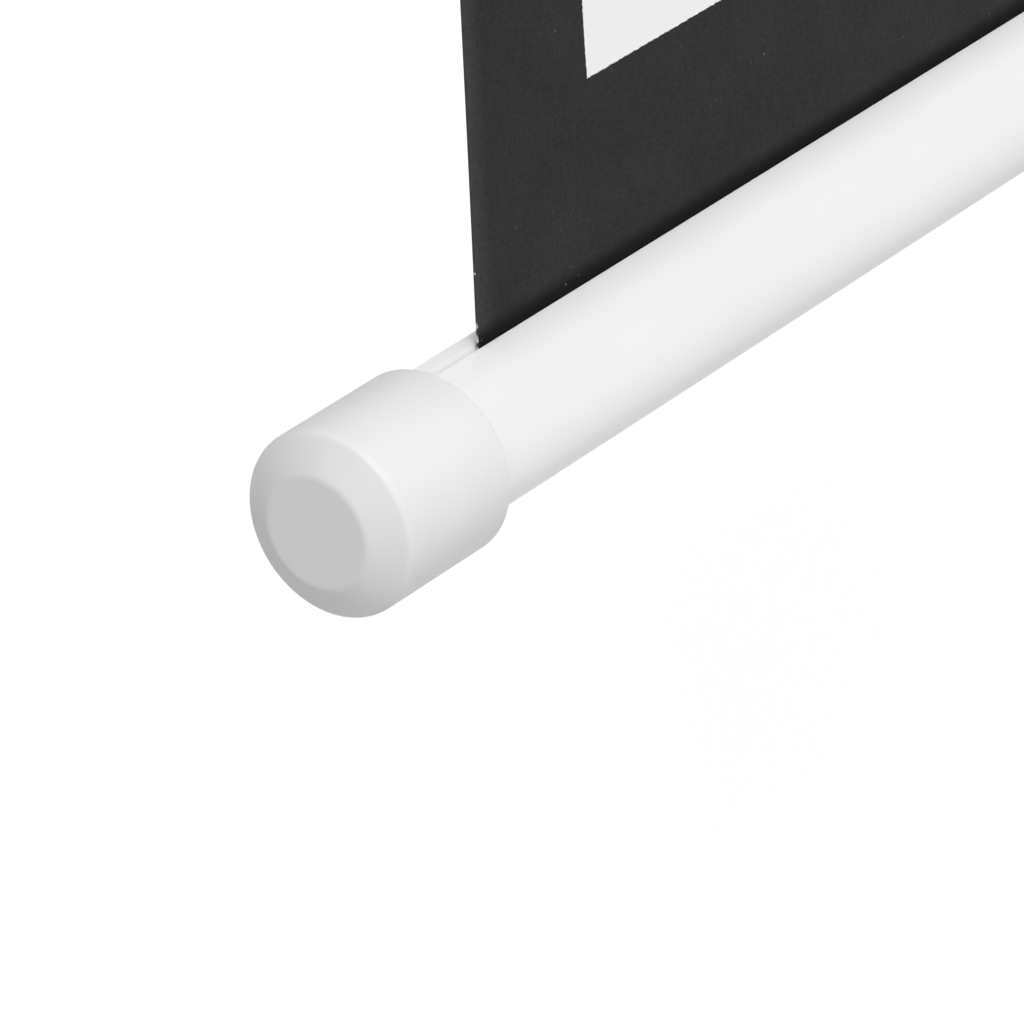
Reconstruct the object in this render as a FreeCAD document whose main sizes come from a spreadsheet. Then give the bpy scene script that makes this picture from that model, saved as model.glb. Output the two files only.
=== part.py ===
import FreeCAD, Part
import math
import os
import re

import Sketcher

# A pull-down projection screen with a spring roller. The origin is the middle of the four wall screws,
# on the wall: +X to the viewer's right, -Y out of the wall, +Z up. The screen is pulled down.

# Driving sizes in millimetres and degrees: name, value, what it is
SIZES = (
    ("image_width", 1219, "white viewing area, across"),
    ("image_height", 914, "white viewing area, up"),
    ("side_border", 35.5, "black border beside the image"),
    ("lower_border", 35.8, "black border between image and bar"),
    ("top_drop", 36, "black border between case and image"),
    ("cloth_thickness", 0.5, "coated cloth"),
    ("bar_radius", 14, "outside of the weight bar"),
    ("bar_wall", 1.2, "wall of the weight bar"),
    ("bar_slot", 0.6, "slot along the top of the bar"),
    ("bar_lip", 4, "depth of the turned-in slot lips below the bar's top"),
    ("bar_lip_wall", 1.0, "thickness of the slot lips"),
    ("bar_edge_round", 0.45, "rounding of the slot's edges"),
    ("bar_margin", 15.5, "bare bar between the cloth and a cap"),
    ("hem_rod_radius", 2.5, "rod in the cloth's hem"),
    ("cap_radius", 16.9, "outside of a bar cap"),
    ("cap_length", 28.2, "straight part of a bar cap"),
    ("cap_bevel", 3.8, "length of the cap's bevel"),
    ("cap_face_radius", 10.3, "flat end face of the cap"),
    ("cap_droop", 0.9, "how far a cap hangs below the bar's axis"),
    ("cap_floor", 4, "thickness of the cap's end wall"),
    ("cap_socket", 25, "how far the bar goes into a cap"),
    ("cap_plug_radius", 9.6, "plug inside the bar"),
    ("cap_plug_wall", 1.8, "wall of that plug"),
    ("cap_plug_inset", 6.25, "end of that plug inside the cap's rim"),
    ("cap_rim_round", 0.7, "rounding of the cap's rim"),
    ("cap_edge_round", 1.2, "rounding where the bevel starts"),
    ("cap_face_round", 2.2, "rounding where the bevel ends"),
    ("end_room", 38, "steel case past each end of the roller tube"),
    ("case_depth", 76, "case, front to back"),
    ("case_height", 72, "case, top to floor"),
    ("case_wall", 1.0, "steel sheet of the case"),
    ("case_back_gap", 1.5, "case clear of the wall"),
    ("case_back_round", 5, "rear corners of the case"),
    ("case_brow_round", 22, "upper front corner of the case"),
    ("case_chin_round", 16, "lower front corner of the case"),
    ("slot_width", 18, "slot in the floor of the case"),
    ("slot_lip", 6, "height of the slot's turned-up lips"),
    ("end_plate", 5, "thickness of a case end"),
    ("end_edge_round", 2, "outer edge of a case end"),
    ("end_rim", 14, "how far a case end plugs into the case"),
    ("end_rim_wall", 2.5, "wall of that plug"),
    ("end_boss_radius", 11, "boss that carries the roller"),
    ("end_boss", 22, "length of that boss"),
    ("end_screw_inset", 7, "case end screws from the end of the case"),
    ("end_screw_front", 6, "front case end screws, ahead of the roller axis"),
    ("end_screw_rear", 30, "rear case end screws, behind the roller axis"),
    ("end_screw_radius", 1.5, "shank of a case end screw"),
    ("end_screw_length", 5, "shank of a case end screw"),
    ("end_screw_head_radius", 3, "head of a case end screw"),
    ("end_screw_head", 2, "height of that head"),
    ("mount_inset", 75, "mounting angles from the ends of the case"),
    ("mount_hole_rise", 24, "wall holes, one above the other"),
    ("mount_hole_radius", 3, "wall holes"),
    ("bracket_height", 44, "upright leg of a mounting angle"),
    ("bracket_shelf", 56, "level leg of a mounting angle"),
    ("bracket_width", 40, "mounting angle, along the case"),
    ("bracket_thickness", 2, "steel of a mounting angle"),
    ("bracket_bend", 1.5, "inside of the angle's bend"),
    ("bracket_corner", 8, "rounded free corners of the angle"),
    ("bolt_front", 46, "front case bolt from the wall"),
    ("bolt_rear", 20, "rear case bolt from the wall"),
    ("bolt_radius", 2.5, "shank of a case bolt"),
    ("bolt_head_radius", 4.5, "head of a case bolt"),
    ("bolt_head", 3, "height of that head"),
    ("bolt_length", 8, "shank of a case bolt"),
    ("nut_width", 9, "square nut in the case"),
    ("nut_height", 4, "square nut in the case"),
    ("roller_depth", 46, "roller axis from the wall"),
    ("roller_drop", 35, "roller axis below the case's top"),
    ("roller_radius", 19, "outside of the roller tube"),
    ("roller_wall", 1, "wall of the roller tube"),
    ("roller_margin", 12, "roller tube past the cloth's edges"),
    ("wrap_turns", 2, "turns of cloth that stay on the roller"),
    ("shaft_radius", 4, "spear shaft and idle pin"),
    ("spear_tail", 26, "spear shaft past the fixed spring anchor"),
    ("tang_width", 4, "flat tang of the spear"),
    ("tang_height", 6.6, "flat tang of the spear"),
    ("plug_flange", 4, "flange of a roller plug"),
    ("drive_plug_length", 40, "drive plug inside the tube"),
    ("idle_plug_length", 30, "idle plug inside the tube"),
    ("idle_pin_grip", 26, "idle pin inside its plug"),
    ("idle_pin_short", 4, "idle pin clear of the case end"),
    ("bush_wall", 2.5, "plain bearing of the idle pin"),
    ("bush_flange", 2, "flange of that bearing"),
    ("bush_flange_rim", 2.5, "flange of that bearing, past its sleeve"),
    ("ratchet_recess_radius", 15.5, "room for the lock in the drive plug"),
    ("ratchet_recess", 11, "depth of that room"),
    ("ratchet_radius", 7, "ratchet wheel"),
    ("ratchet_width", 6, "ratchet wheel"),
    ("ratchet_notch_gap", 0.4, "notch clear of a seated pawl"),
    ("cover_thickness", 1.5, "cover over the lock"),
    ("pawl_circle", 11.5, "pawl pivots from the roller axis"),
    ("pawl_arm", 8, "pivot to nose of a pawl"),
    ("pawl_half", 2, "half the width of a pawl"),
    ("pawl_width", 5, "pawl along the shaft"),
    ("pawl_place", 65, "turn of the upper pawl's pivot about the roller"),
    ("pawl_lean", 36, "lean of a lifted pawl"),
    ("pawl_drop", 12, "swing of a pawl into its notch"),
    ("pawl_pin_radius", 1.2, "pawl pivots"),
    ("pawl_pin_grip", 8, "pawl pivots inside the plug"),
    ("spring_wire", 2, "wire of the spring"),
    ("spring_radius", 7.4, "middle of the spring's coil"),
    ("spring_length", 280, "spring between its anchors"),
    ("spigot_radius", 6, "spigots that the spring is gripped on"),
    ("spigot_length", 12, "spigots that the spring is gripped on"),
    ("anchor_radius", 11, "flange of the fixed spring anchor"),
    ("anchor_flange", 8, "flange of the fixed spring anchor"),
    ("saddle_length", 46, "handle saddle along the bar"),
    ("saddle_wall", 2.6, "handle saddle round the bar"),
    ("saddle_rise", 4, "saddle's top edges below the bar's axis"),
    ("saddle_round", 11, "saddle's lower corners"),
    ("ear_width", 9, "ears of the saddle, across"),
    ("ear_wall", 4, "ears of the saddle, along the bar"),
    ("ear_gap", 14, "between the ears"),
    ("handle_drop", 23, "handle pin below the bar's axis"),
    ("handle_pin_radius", 2, "handle pin"),
    ("saddle_screw_spacing", 34, "saddle screws along the bar"),
    ("saddle_screw_radius", 1.6, "saddle screws"),
    ("saddle_screw_length", 5.5, "saddle screws"),
    ("saddle_screw_head_radius", 3, "saddle screws"),
    ("saddle_screw_head", 1.8, "saddle screws"),
    ("loop_thickness", 8, "pull loop, front to back"),
    ("loop_neck", 7, "pull loop's top bar below its pin"),
    ("loop_shoulder", 52, "pull loop's width at the top"),
    ("loop_width", 90, "pull loop's width at the bottom"),
    ("loop_height", 48, "pull loop below its neck"),
    ("loop_stroke", 9, "pull loop's top and bottom bars"),
    ("loop_side", 10.8, "pull loop's slanted sides, measured level"),
    ("loop_round", 13, "pull loop's outer corners"),
    ("loop_shoulder_round", 6.5, "pull loop's upper corners, and its inner ones below"),
    ("loop_inner_round", 4.3, "pull loop's inner corners at the top"),
    ("loop_edge_round", 2.5, "pull loop's edges"),
    ("loop_hub_radius", 4.3, "pull loop's eye round the pin"),
    ("loop_web", 7.8, "web between the loop and its eye, front to back"),
    ("seat_gap", 0.02, "fixed round fits"),
    ("running_gap", 0.05, "turning round fits"),
    ("loose_gap", 0.3, "moving pieces past each other"),
    ("slip_gap", 0.2, "moulded pieces pushed in"),
)

# Places worked out from the sizes
CLOTH_WIDTH = "(image_width + 2 * side_border)"
CASE_TOP = "(-bracket_height / 2)"
ROLLER_Y = "(-roller_depth)"
ROLLER_Z = f"({CASE_TOP} - roller_drop)"
ROLLER_HALF = f"({CLOTH_WIDTH} / 2 + roller_margin)"
ROLLER_BORE = "(roller_radius - roller_wall)"
CASE_HALF = f"({ROLLER_HALF} + end_room)"
CASE_LENGTH = f"(2 * {CASE_HALF})"
MOUNT_HALF = f"({CASE_HALF} - mount_inset)"
WRAP_INSIDE = "(roller_radius + running_gap)"
WRAP_OUTSIDE = f"({WRAP_INSIDE} + wrap_turns * cloth_thickness)"
CLOTH_RADIUS = f"({WRAP_OUTSIDE} + loose_gap + cloth_thickness / 2)"
CLOTH_Y = f"({CLOTH_RADIUS} - roller_depth)"
CASE_BACK = "(roller_depth - case_back_gap)"
CASE_FRONT = f"({CASE_BACK} - case_depth)"
CASE_FLOOR = "(roller_drop - case_height)"
SLOT_FRONT = f"({CLOTH_RADIUS} - slot_width / 2)"
SLOT_REAR = f"({CLOTH_RADIUS} + slot_width / 2)"
BAR_DROP = "(top_drop + image_height + lower_border + bar_radius)"
BAR_Z = f"({CASE_TOP} - case_height - {BAR_DROP})"
IMAGE_FOOT = f"({CASE_FLOOR} - top_drop - image_height)"
BAR_HALF_SPAN = f"({CLOTH_WIDTH} / 2 + bar_margin)"
CAP_BORE = "(bar_radius + cap_droop + running_gap)"
RIM_INSET = "(case_wall + slip_gap)"
LOCK_FACE = "(cover_thickness - plug_flange)"
WHEEL_START = f"({LOCK_FACE} + loose_gap)"
ANCHOR_SEAT = f"(-{ROLLER_HALF} + drive_plug_length + 2 * loose_gap + spring_length)"
SPEAR_START = f"(-{CASE_HALF} + end_boss + loose_gap)"
HANDLE_Z = f"({BAR_Z} - handle_drop)"
SADDLE_FLOOR = "(-bar_radius - saddle_wall)"
HEM_Z = "(bar_radius - bar_lip - loose_gap - cloth_thickness - running_gap - hem_rod_radius)"

# Rounding of a rounded end as a share of its half width: a short flat is left between the two arcs
NEARLY_ROUND = 0.95

doc = FreeCAD.newDocument("ProjectionScreen")
sheet = doc.addObject("Spreadsheet::Sheet", "Sizes")
for row, (alias, size, meaning) in enumerate(SIZES, start=1):
    sheet.set(f"A{row}", meaning)
    sheet.set(f"B{row}", str(size))
    sheet.setAlias(f"B{row}", alias)
doc.recompute()
ALIASES = {alias for alias, size, meaning in SIZES}


def formula(text):
    """Turn each size's name into a reference to its cell."""
    def cell(word):
        return "Sizes." + word.group() if word.group() in ALIASES else word.group()
    return re.sub(r"[a-z_]+", cell, str(text))


def value(text):
    return float(sheet.evalExpression(formula(text)))


def bind(target, setting, text):
    target.setExpression(setting, formula(text))


def new_body(label, x="0", y="0", z="0", turn=None):
    """A body whose origin is bound to a place of the screen."""
    body = doc.addObject("PartDesign::Body", label)
    body.Label = label
    if turn:
        body.Placement = FreeCAD.Placement(FreeCAD.Vector(), turn)
    for axis, text in zip("xyz", (x, y, z)):
        bind(body, f"Placement.Base.{axis}", text)
    return body


def origin_part(body, role):
    return next(part for part in body.Origin.OriginFeatures if part.Role == role)


def new_sketch(body, plane, away="0"):
    """A sketch on one of the body's origin planes, moved along the plane's normal."""
    sketch = body.newObject("Sketcher::SketchObject", body.Name + "_sketch")
    sketch.AttachmentSupport = [(origin_part(body, plane), "")]
    sketch.MapMode = "FlatFace"
    bind(sketch, "AttachmentOffset.Base.z", away)
    return sketch


def dimension(sketch, constraint, text):
    """Add a dimension to a sketch and bind it to a formula."""
    index = sketch.addConstraint(constraint)
    name = f"size_{index}"
    sketch.renameConstraint(index, name)
    bind(sketch, f"Constraints.{name}", text)


def place_point(sketch, shape, point, across, up):
    """Fix a sketch point at a place given by two formulas."""
    for kind, axis, text in (("DistanceX", -2, across), ("DistanceY", -1, up)):
        if text == "0":
            sketch.addConstraint(Sketcher.Constraint("PointOnObject", shape, point, axis))
        else:
            constraint = Sketcher.Constraint(kind, -1, 1, shape, point, value(text))
            dimension(sketch, constraint, text)


def draw_circle(sketch, across, up, radius):
    centre = FreeCAD.Vector(value(across), value(up), 0)
    circle = Part.Circle(centre, FreeCAD.Vector(0, 0, 1), value(radius))
    shape = sketch.addGeometry(circle)
    place_point(sketch, shape, 3, across, up)
    dimension(sketch, Sketcher.Constraint("Radius", shape, value(radius)), radius)


def draw_outline(sketch, corners):
    """Draw a closed outline of straight sides. A corner is (across, up) or (across, up, rounding)."""
    spots = [FreeCAD.Vector(value(corner[0]), value(corner[1]), 0) for corner in corners]
    count = len(corners)
    arrive, leave, arcs = list(spots), list(spots), [None] * count
    for i, corner in enumerate(corners):
        if len(corner) < 3:
            continue
        back = (spots[i - 1] - spots[i]).normalize()
        ahead = (spots[(i + 1) % count] - spots[i]).normalize()
        half = back.getAngle(ahead) / 2
        radius = value(corner[2])
        arrive[i] = spots[i] + back * (radius / math.tan(half))
        leave[i] = spots[i] + ahead * (radius / math.tan(half))
        centre = spots[i] + (back + ahead).normalize() * (radius / math.sin(half))
        turns_left = ahead.cross(back).z > 0
        ends = (arrive[i], leave[i]) if turns_left else (leave[i], arrive[i])
        angles = [math.atan2(end.y - centre.y, end.x - centre.x) for end in ends]
        circle = Part.Circle(centre, FreeCAD.Vector(0, 0, 1), radius)
        arcs[i] = (sketch.addGeometry(Part.ArcOfCircle(circle, *angles)), 1 if turns_left else 2)
    sides = []
    for i in range(count):
        sides.append(sketch.addGeometry(Part.LineSegment(leave[i], arrive[(i + 1) % count])))
    for i, corner in enumerate(corners):
        before, after = sides[i - 1], sides[i]
        if arcs[i] is None:
            sketch.addConstraint(Sketcher.Constraint("Coincident", before, 2, after, 1))
            place_point(sketch, after, 1, corner[0], corner[1])
            continue
        arc, first = arcs[i]
        point = sketch.addGeometry(Part.Point(spots[i]), True)
        sketch.addConstraint(Sketcher.Constraint("PointOnObject", point, 1, before))
        sketch.addConstraint(Sketcher.Constraint("PointOnObject", point, 1, after))
        place_point(sketch, point, 1, corner[0], corner[1])
        sketch.addConstraint(Sketcher.Constraint("Tangent", before, 2, arc, first))
        sketch.addConstraint(Sketcher.Constraint("Tangent", arc, 3 - first, after, 1))
        dimension(sketch, Sketcher.Constraint("Radius", arc, value(corner[2])), corner[2])


def draw_box(sketch, left, right, low, high):
    draw_outline(sketch, ((left, low), (right, low), (right, high), (left, high)))


def extrude(kind, sketch, length, symmetric=False, backward=False):
    """Pad or pocket a sketch, and see that a pocket really takes material away."""
    body = sketch.getParentGeoFeatureGroup()
    doc.recompute()
    before = body.Shape.Volume if kind == "Pocket" else 0
    feature = body.newObject("PartDesign::" + kind, body.Name + "_" + kind.lower())
    feature.Profile = sketch
    feature.SideType = "Symmetric" if symmetric else "One side"
    feature.Reversed = backward
    bind(feature, "Length", length)
    doc.recompute()
    if kind == "Pocket" and not body.Shape.Volume < before:
        raise RuntimeError(feature.Name + " cuts nothing")
    return feature


def revolve(sketch):
    """Turn a sketch, drawn as length along and radius across, about the body's X axis."""
    body = sketch.getParentGeoFeatureGroup()
    feature = body.newObject("PartDesign::Revolution", body.Name + "_turned")
    feature.Profile = sketch
    feature.ReferenceAxis = (origin_part(body, "X_Axis"), [""])
    feature.Angle = 360
    doc.recompute()
    return feature


def round_edges(body, radius, wanted):
    """Fillet the edges whose middle point passes a test."""
    base = body.Tip
    names = []
    for number, edge in enumerate(base.Shape.Edges, start=1):
        middle = edge.valueAt((edge.FirstParameter + edge.LastParameter) / 2)
        if wanted(middle):
            names.append(f"Edge{number}")
    feature = body.newObject("PartDesign::Fillet", body.Name + "_fillet")
    feature.Base = (base, names)
    bind(feature, "Radius", radius)
    doc.recompute()
    return feature


def near(one, other):
    return abs(one - other) < 0.01


def group(label, members):
    """Several loose solids that share one node."""
    compound = doc.addObject("Part::Compound", label)
    compound.Label = label
    compound.Links = members
    return compound


def turned_part(label, profile, x, y, z, turn=None):
    """A round piece from a profile of (length along, radius) corners."""
    body = new_body(label, x, y, z, turn)
    sketch = new_sketch(body, "XY_Plane")
    draw_outline(sketch, profile)
    revolve(sketch)
    return body


def screw(label, sizes, x, y, z, turn):
    """A pan-head screw along its own X axis: the head's seat is at its origin."""
    radius, length, head_radius, head = sizes
    profile = (
        (length, "0"),
        (f"-{head}", "0"),
        (f"-{head}", f"{head_radius} - {head} / 2"),
        (f"-{head} / 2", head_radius),
        ("0", head_radius),
        ("0", radius),
        (length, radius),
    )
    return turned_part(label, profile, x, y, z, turn)


POINT_DOWN = FreeCAD.Rotation(FreeCAD.Vector(0, 1, 0), 90)
POINT_UP = FreeCAD.Rotation(FreeCAD.Vector(0, 1, 0), -90)
TURN_ROUND = FreeCAD.Rotation(FreeCAD.Vector(0, 0, 1), 180)


# Case

def case_outline(inset):
    """The case's section about the roller axis, shrunk by an inset."""
    back, front = f"{CASE_BACK} - {inset}", f"{CASE_FRONT} + {inset}"
    top, floor = f"roller_drop - {inset}", f"{CASE_FLOOR} + {inset}"
    return (
        (back, floor, f"case_back_round - {inset}"),
        (back, top, f"case_back_round - {inset}"),
        (front, top, f"case_brow_round - {inset}"),
        (front, floor, f"case_chin_round - {inset}"),
    )


def bolt_places():
    """Where the mounting angles are bolted to the case's top: along, and out from the wall."""
    for side in ("-", ""):
        for depth in ("bolt_front", "bolt_rear"):
            yield f"{side}{MOUNT_HALF}", depth


def end_screw_places(side):
    for y in ("-end_screw_front", "end_screw_rear"):
        yield f"{side}({CASE_HALF} - end_screw_inset)", y


def case_shell():
    body = new_body("case_shell", "0", ROLLER_Y, ROLLER_Z)
    sketch = new_sketch(body, "YZ_Plane")
    draw_outline(sketch, case_outline("0"))
    draw_outline(sketch, case_outline("case_wall"))
    extrude("Pad", sketch, CASE_LENGTH, symmetric=True)
    sketch = new_sketch(body, "YZ_Plane")
    lip_top = f"{CASE_FLOOR} + slot_lip"
    draw_box(sketch, f"{SLOT_FRONT} - case_wall", SLOT_FRONT, CASE_FLOOR, lip_top)
    draw_box(sketch, SLOT_REAR, f"{SLOT_REAR} + case_wall", CASE_FLOOR, lip_top)
    extrude("Pad", sketch, CASE_LENGTH, symmetric=True)
    sketch = new_sketch(body, "YZ_Plane")
    draw_box(sketch, SLOT_FRONT, SLOT_REAR, f"{CASE_FLOOR} - case_wall", f"{CASE_FLOOR} + 2 * case_wall")
    extrude("Pocket", sketch, f"2 * {CASE_LENGTH}", symmetric=True)
    sketch = new_sketch(body, "XY_Plane", "roller_drop")
    for x, depth in bolt_places():
        draw_circle(sketch, x, f"roller_depth - {depth}", "bolt_radius + slip_gap")
    for side in ("-", ""):
        for x, y in end_screw_places(side):
            draw_circle(sketch, x, y, "end_screw_radius + slip_gap")
    extrude("Pocket", sketch, "2 * case_wall")
    return body


def case_end(label, side):
    """A moulded end: plate, rim that plugs into the case, and a boss for the roller."""
    left = side == "-"
    body = new_body(label, f"{side}{CASE_HALF}", ROLLER_Y, ROLLER_Z)
    sketch = new_sketch(body, "YZ_Plane")
    draw_outline(sketch, case_outline("0"))
    extrude("Pad", sketch, "end_plate", backward=left)
    outer_face = value(f"{side}end_plate")
    round_edges(body, "end_edge_round", lambda middle: near(middle.x, outer_face))
    sketch = new_sketch(body, "YZ_Plane")
    draw_outline(sketch, case_outline(RIM_INSET))
    draw_outline(sketch, case_outline(f"({RIM_INSET} + end_rim_wall)"))
    extrude("Pad", sketch, "end_rim", backward=not left)
    sketch = new_sketch(body, "YZ_Plane")
    draw_circle(sketch, "0", "0", "end_boss_radius")
    extrude("Pad", sketch, "end_boss", backward=not left)
    sketch = new_sketch(body, "YZ_Plane")
    room = "(case_wall + slip_gap)"
    lip_top = f"{CASE_FLOOR} + slot_lip + slip_gap"
    draw_box(sketch, f"{SLOT_FRONT} - {room}", f"{SLOT_REAR} + {room}", CASE_FLOOR, lip_top)
    extrude("Pocket", sketch, "end_rim", backward=left)
    sketch = new_sketch(body, "YZ_Plane")
    if left:
        half_width, half_height = "(tang_width / 2 + seat_gap)", "(tang_height / 2 + seat_gap)"
        draw_box(sketch, f"-{half_width}", half_width, f"-{half_height}", half_height)
    else:
        draw_circle(sketch, "0", "0", "shaft_radius + running_gap + bush_wall + seat_gap")
    extrude("Pocket", sketch, "end_boss", backward=left)
    sketch = new_sketch(body, "XY_Plane", "roller_drop")
    for x, y in end_screw_places(side):
        draw_circle(sketch, f"{x} - {side}{CASE_HALF}", y, "end_screw_radius + seat_gap")
    extrude("Pocket", sketch, f"{RIM_INSET} + end_rim_wall + end_screw_length")
    return body


def end_screws():
    sizes = ("end_screw_radius", "end_screw_length", "end_screw_head_radius", "end_screw_head")
    screws = []
    for side in ("-", ""):
        for x, y in end_screw_places(side):
            label = f"end_screw_{len(screws) + 1}"
            screws.append(screw(label, sizes, x, f"{ROLLER_Y} + {y}", CASE_TOP, POINT_DOWN))
    return group("end_screws", screws)


def mount_angle(label, side):
    """A folded steel angle: upright leg on the wall, level leg on top of the case."""
    body = new_body(label, f"{side}{MOUNT_HALF}")
    top, foot = "bracket_height / 2", "-bracket_height / 2"
    sketch = new_sketch(body, "YZ_Plane")
    draw_outline(sketch, (
        ("0", foot, "bracket_bend + bracket_thickness"),
        ("0", top),
        ("-bracket_thickness", top),
        ("-bracket_thickness", f"{foot} + bracket_thickness", "bracket_bend"),
        ("-bracket_shelf", f"{foot} + bracket_thickness"),
        ("-bracket_shelf", foot),
    ))
    extrude("Pad", sketch, "bracket_width", symmetric=True)
    sketch = new_sketch(body, "XZ_Plane")
    for rise in ("mount_hole_rise / 2", "-mount_hole_rise / 2"):
        draw_circle(sketch, "0", rise, "mount_hole_radius")
    extrude("Pocket", sketch, "3 * bracket_thickness", symmetric=True)
    sketch = new_sketch(body, "XY_Plane", f"{CASE_TOP} + bracket_thickness")
    for depth in ("bolt_front", "bolt_rear"):
        draw_circle(sketch, "0", f"-{depth}", "bolt_radius + slip_gap")
    extrude("Pocket", sketch, "2 * bracket_thickness")
    half_width = value("bracket_width / 2")
    tip, ceiling = value("-bracket_shelf"), value(top)

    def free_corner(middle):
        at_side = near(abs(middle.x), half_width)
        return at_side and (near(middle.y, tip) or near(middle.z, ceiling))
    round_edges(body, "bracket_corner", free_corner)
    return body


def bracket_bolts():
    sizes = ("bolt_radius", "bolt_length", "bolt_head_radius", "bolt_head")
    bolts = []
    for x, depth in bolt_places():
        label = f"bracket_bolt_{len(bolts) + 1}"
        bolts.append(screw(label, sizes, x, f"-{depth}", f"{CASE_TOP} + bracket_thickness", POINT_DOWN))
    return group("bracket_bolts", bolts)


def bracket_nuts():
    nuts = []
    for x, depth in bolt_places():
        body = new_body(f"bracket_nut_{len(nuts) + 1}", x, f"-{depth}", f"{CASE_TOP} - case_wall")
        sketch = new_sketch(body, "XY_Plane")
        draw_box(sketch, "-nut_width / 2", "nut_width / 2", "-nut_width / 2", "nut_width / 2")
        draw_circle(sketch, "0", "0", "bolt_radius + seat_gap")
        extrude("Pad", sketch, "nut_height", backward=True)
        nuts.append(body)
    return group("bracket_nuts", nuts)


# Spring and lock on the fixed spear

def spear_shaft():
    """A round shaft whose flat tang sits in the left case end, so that it can't turn."""
    body = new_body("spear_shaft", SPEAR_START, ROLLER_Y, ROLLER_Z)
    sketch = new_sketch(body, "YZ_Plane")
    draw_circle(sketch, "0", "0", "shaft_radius")
    extrude("Pad", sketch, f"{ANCHOR_SEAT} + anchor_flange + spear_tail - {SPEAR_START}")
    sketch = new_sketch(body, "YZ_Plane")
    draw_box(sketch, "-tang_width / 2", "tang_width / 2", "-tang_height / 2", "tang_height / 2")
    extrude("Pad", sketch, "end_boss", backward=True)
    return body


def turn_to_pawl(sketch, place, lean):
    """Move a sketch to a pawl's pivot, with its X axis along the pawl."""
    bind(sketch, "AttachmentOffset.Base.x", f"pawl_circle * cos({place} * 1deg)")
    bind(sketch, "AttachmentOffset.Base.y", f"pawl_circle * sin({place} * 1deg)")
    sketch.AttachmentOffset = FreeCAD.Placement(sketch.AttachmentOffset.Base, FreeCAD.Rotation(0, 0, 1, 0))
    bind(sketch, "AttachmentOffset.Rotation.Angle", f"({place} + 90 + {lean}) * 1deg")


def pawl_outline(margin):
    """A pawl with rounded ends, larger all round by a margin."""
    half = f"(pawl_half + {margin})"
    heel, nose = f"-{half}", f"pawl_arm + {half}"
    rounding = f"{NEARLY_ROUND} * {half}"
    return (
        (heel, f"-{half}", rounding),
        (nose, f"-{half}", rounding),
        (nose, half, rounding),
        (heel, half, rounding),
    )


PAWL_PLACES = {"pawl_upper": "pawl_place", "pawl_lower": "(pawl_place + 180)"}


def ratchet_wheel():
    """A wheel fixed on the spear, with a notch where each pawl drops in."""
    body = new_body("ratchet_wheel", f"-{ROLLER_HALF} + {WHEEL_START}", ROLLER_Y, ROLLER_Z)
    sketch = new_sketch(body, "YZ_Plane")
    draw_circle(sketch, "0", "0", "ratchet_radius")
    draw_circle(sketch, "0", "0", "shaft_radius + seat_gap")
    extrude("Pad", sketch, "ratchet_width")
    for place in PAWL_PLACES.values():
        sketch = new_sketch(body, "YZ_Plane")
        draw_outline(sketch, pawl_outline("ratchet_notch_gap"))
        turn_to_pawl(sketch, place, "(pawl_lean + pawl_drop)")
        extrude("Pocket", sketch, "ratchet_width", backward=True)
    return body


def torsion_spring():
    """The close-wound spring round the spear, drawn as the sleeve that its turns fill."""
    start = f"-{ROLLER_HALF} + drive_plug_length + loose_gap"
    inside, outside = "spring_radius - spring_wire / 2", "spring_radius + spring_wire / 2"
    return turned_part("torsion_spring", (
        ("0", inside),
        ("spring_length", inside),
        ("spring_length", outside),
        ("0", outside),
    ), start, ROLLER_Y, ROLLER_Z)


def spring_anchor():
    """A hub fixed at the inner end of the spear, gripping the spring's still end."""
    bore = "shaft_radius + seat_gap"
    return turned_part("spring_anchor", (
        ("-spigot_length", bore),
        ("anchor_flange", bore),
        ("anchor_flange", "anchor_radius"),
        ("0", "anchor_radius"),
        ("0", "spigot_radius"),
        ("-spigot_length", "spigot_radius"),
    ), ANCHOR_SEAT, ROLLER_Y, ROLLER_Z)


# Roller

def tube(label, inside, outside, length, y, z):
    body = new_body(label, "0", y, z)
    sketch = new_sketch(body, "YZ_Plane")
    draw_circle(sketch, "0", "0", outside)
    draw_circle(sketch, "0", "0", inside)
    extrude("Pad", sketch, length, symmetric=True)
    return body


def drive_plug():
    """The plug that turns on the spear: bearing, room for the lock, spigot for the spring."""
    bore = "shaft_radius + running_gap"
    floor = "ratchet_recess - plug_flange"
    body = turned_part("drive_plug", (
        ("-plug_flange", "ratchet_recess_radius"),
        (floor, "ratchet_recess_radius"),
        (floor, bore),
        ("drive_plug_length + spigot_length", bore),
        ("drive_plug_length + spigot_length", "spigot_radius"),
        ("drive_plug_length", "spigot_radius"),
        ("drive_plug_length", f"{ROLLER_BORE} - running_gap"),
        ("0", f"{ROLLER_BORE} - running_gap"),
        ("0", "roller_radius"),
        ("-plug_flange", "roller_radius"),
    ), f"-{ROLLER_HALF}", ROLLER_Y, ROLLER_Z)
    sketch = new_sketch(body, "YZ_Plane", floor)
    for place in PAWL_PLACES.values():
        across = f"pawl_circle * cos({place} * 1deg)"
        draw_circle(sketch, across, f"pawl_circle * sin({place} * 1deg)", "pawl_pin_radius + seat_gap")
    extrude("Pocket", sketch, "pawl_pin_grip", backward=True)
    return body


def ratchet_cover():
    body = new_body("ratchet_cover", f"-{ROLLER_HALF} - plug_flange", ROLLER_Y, ROLLER_Z)
    sketch = new_sketch(body, "YZ_Plane")
    draw_circle(sketch, "0", "0", "ratchet_recess_radius - running_gap")
    draw_circle(sketch, "0", "0", "shaft_radius + loose_gap")
    extrude("Pad", sketch, "cover_thickness")
    return body


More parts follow.
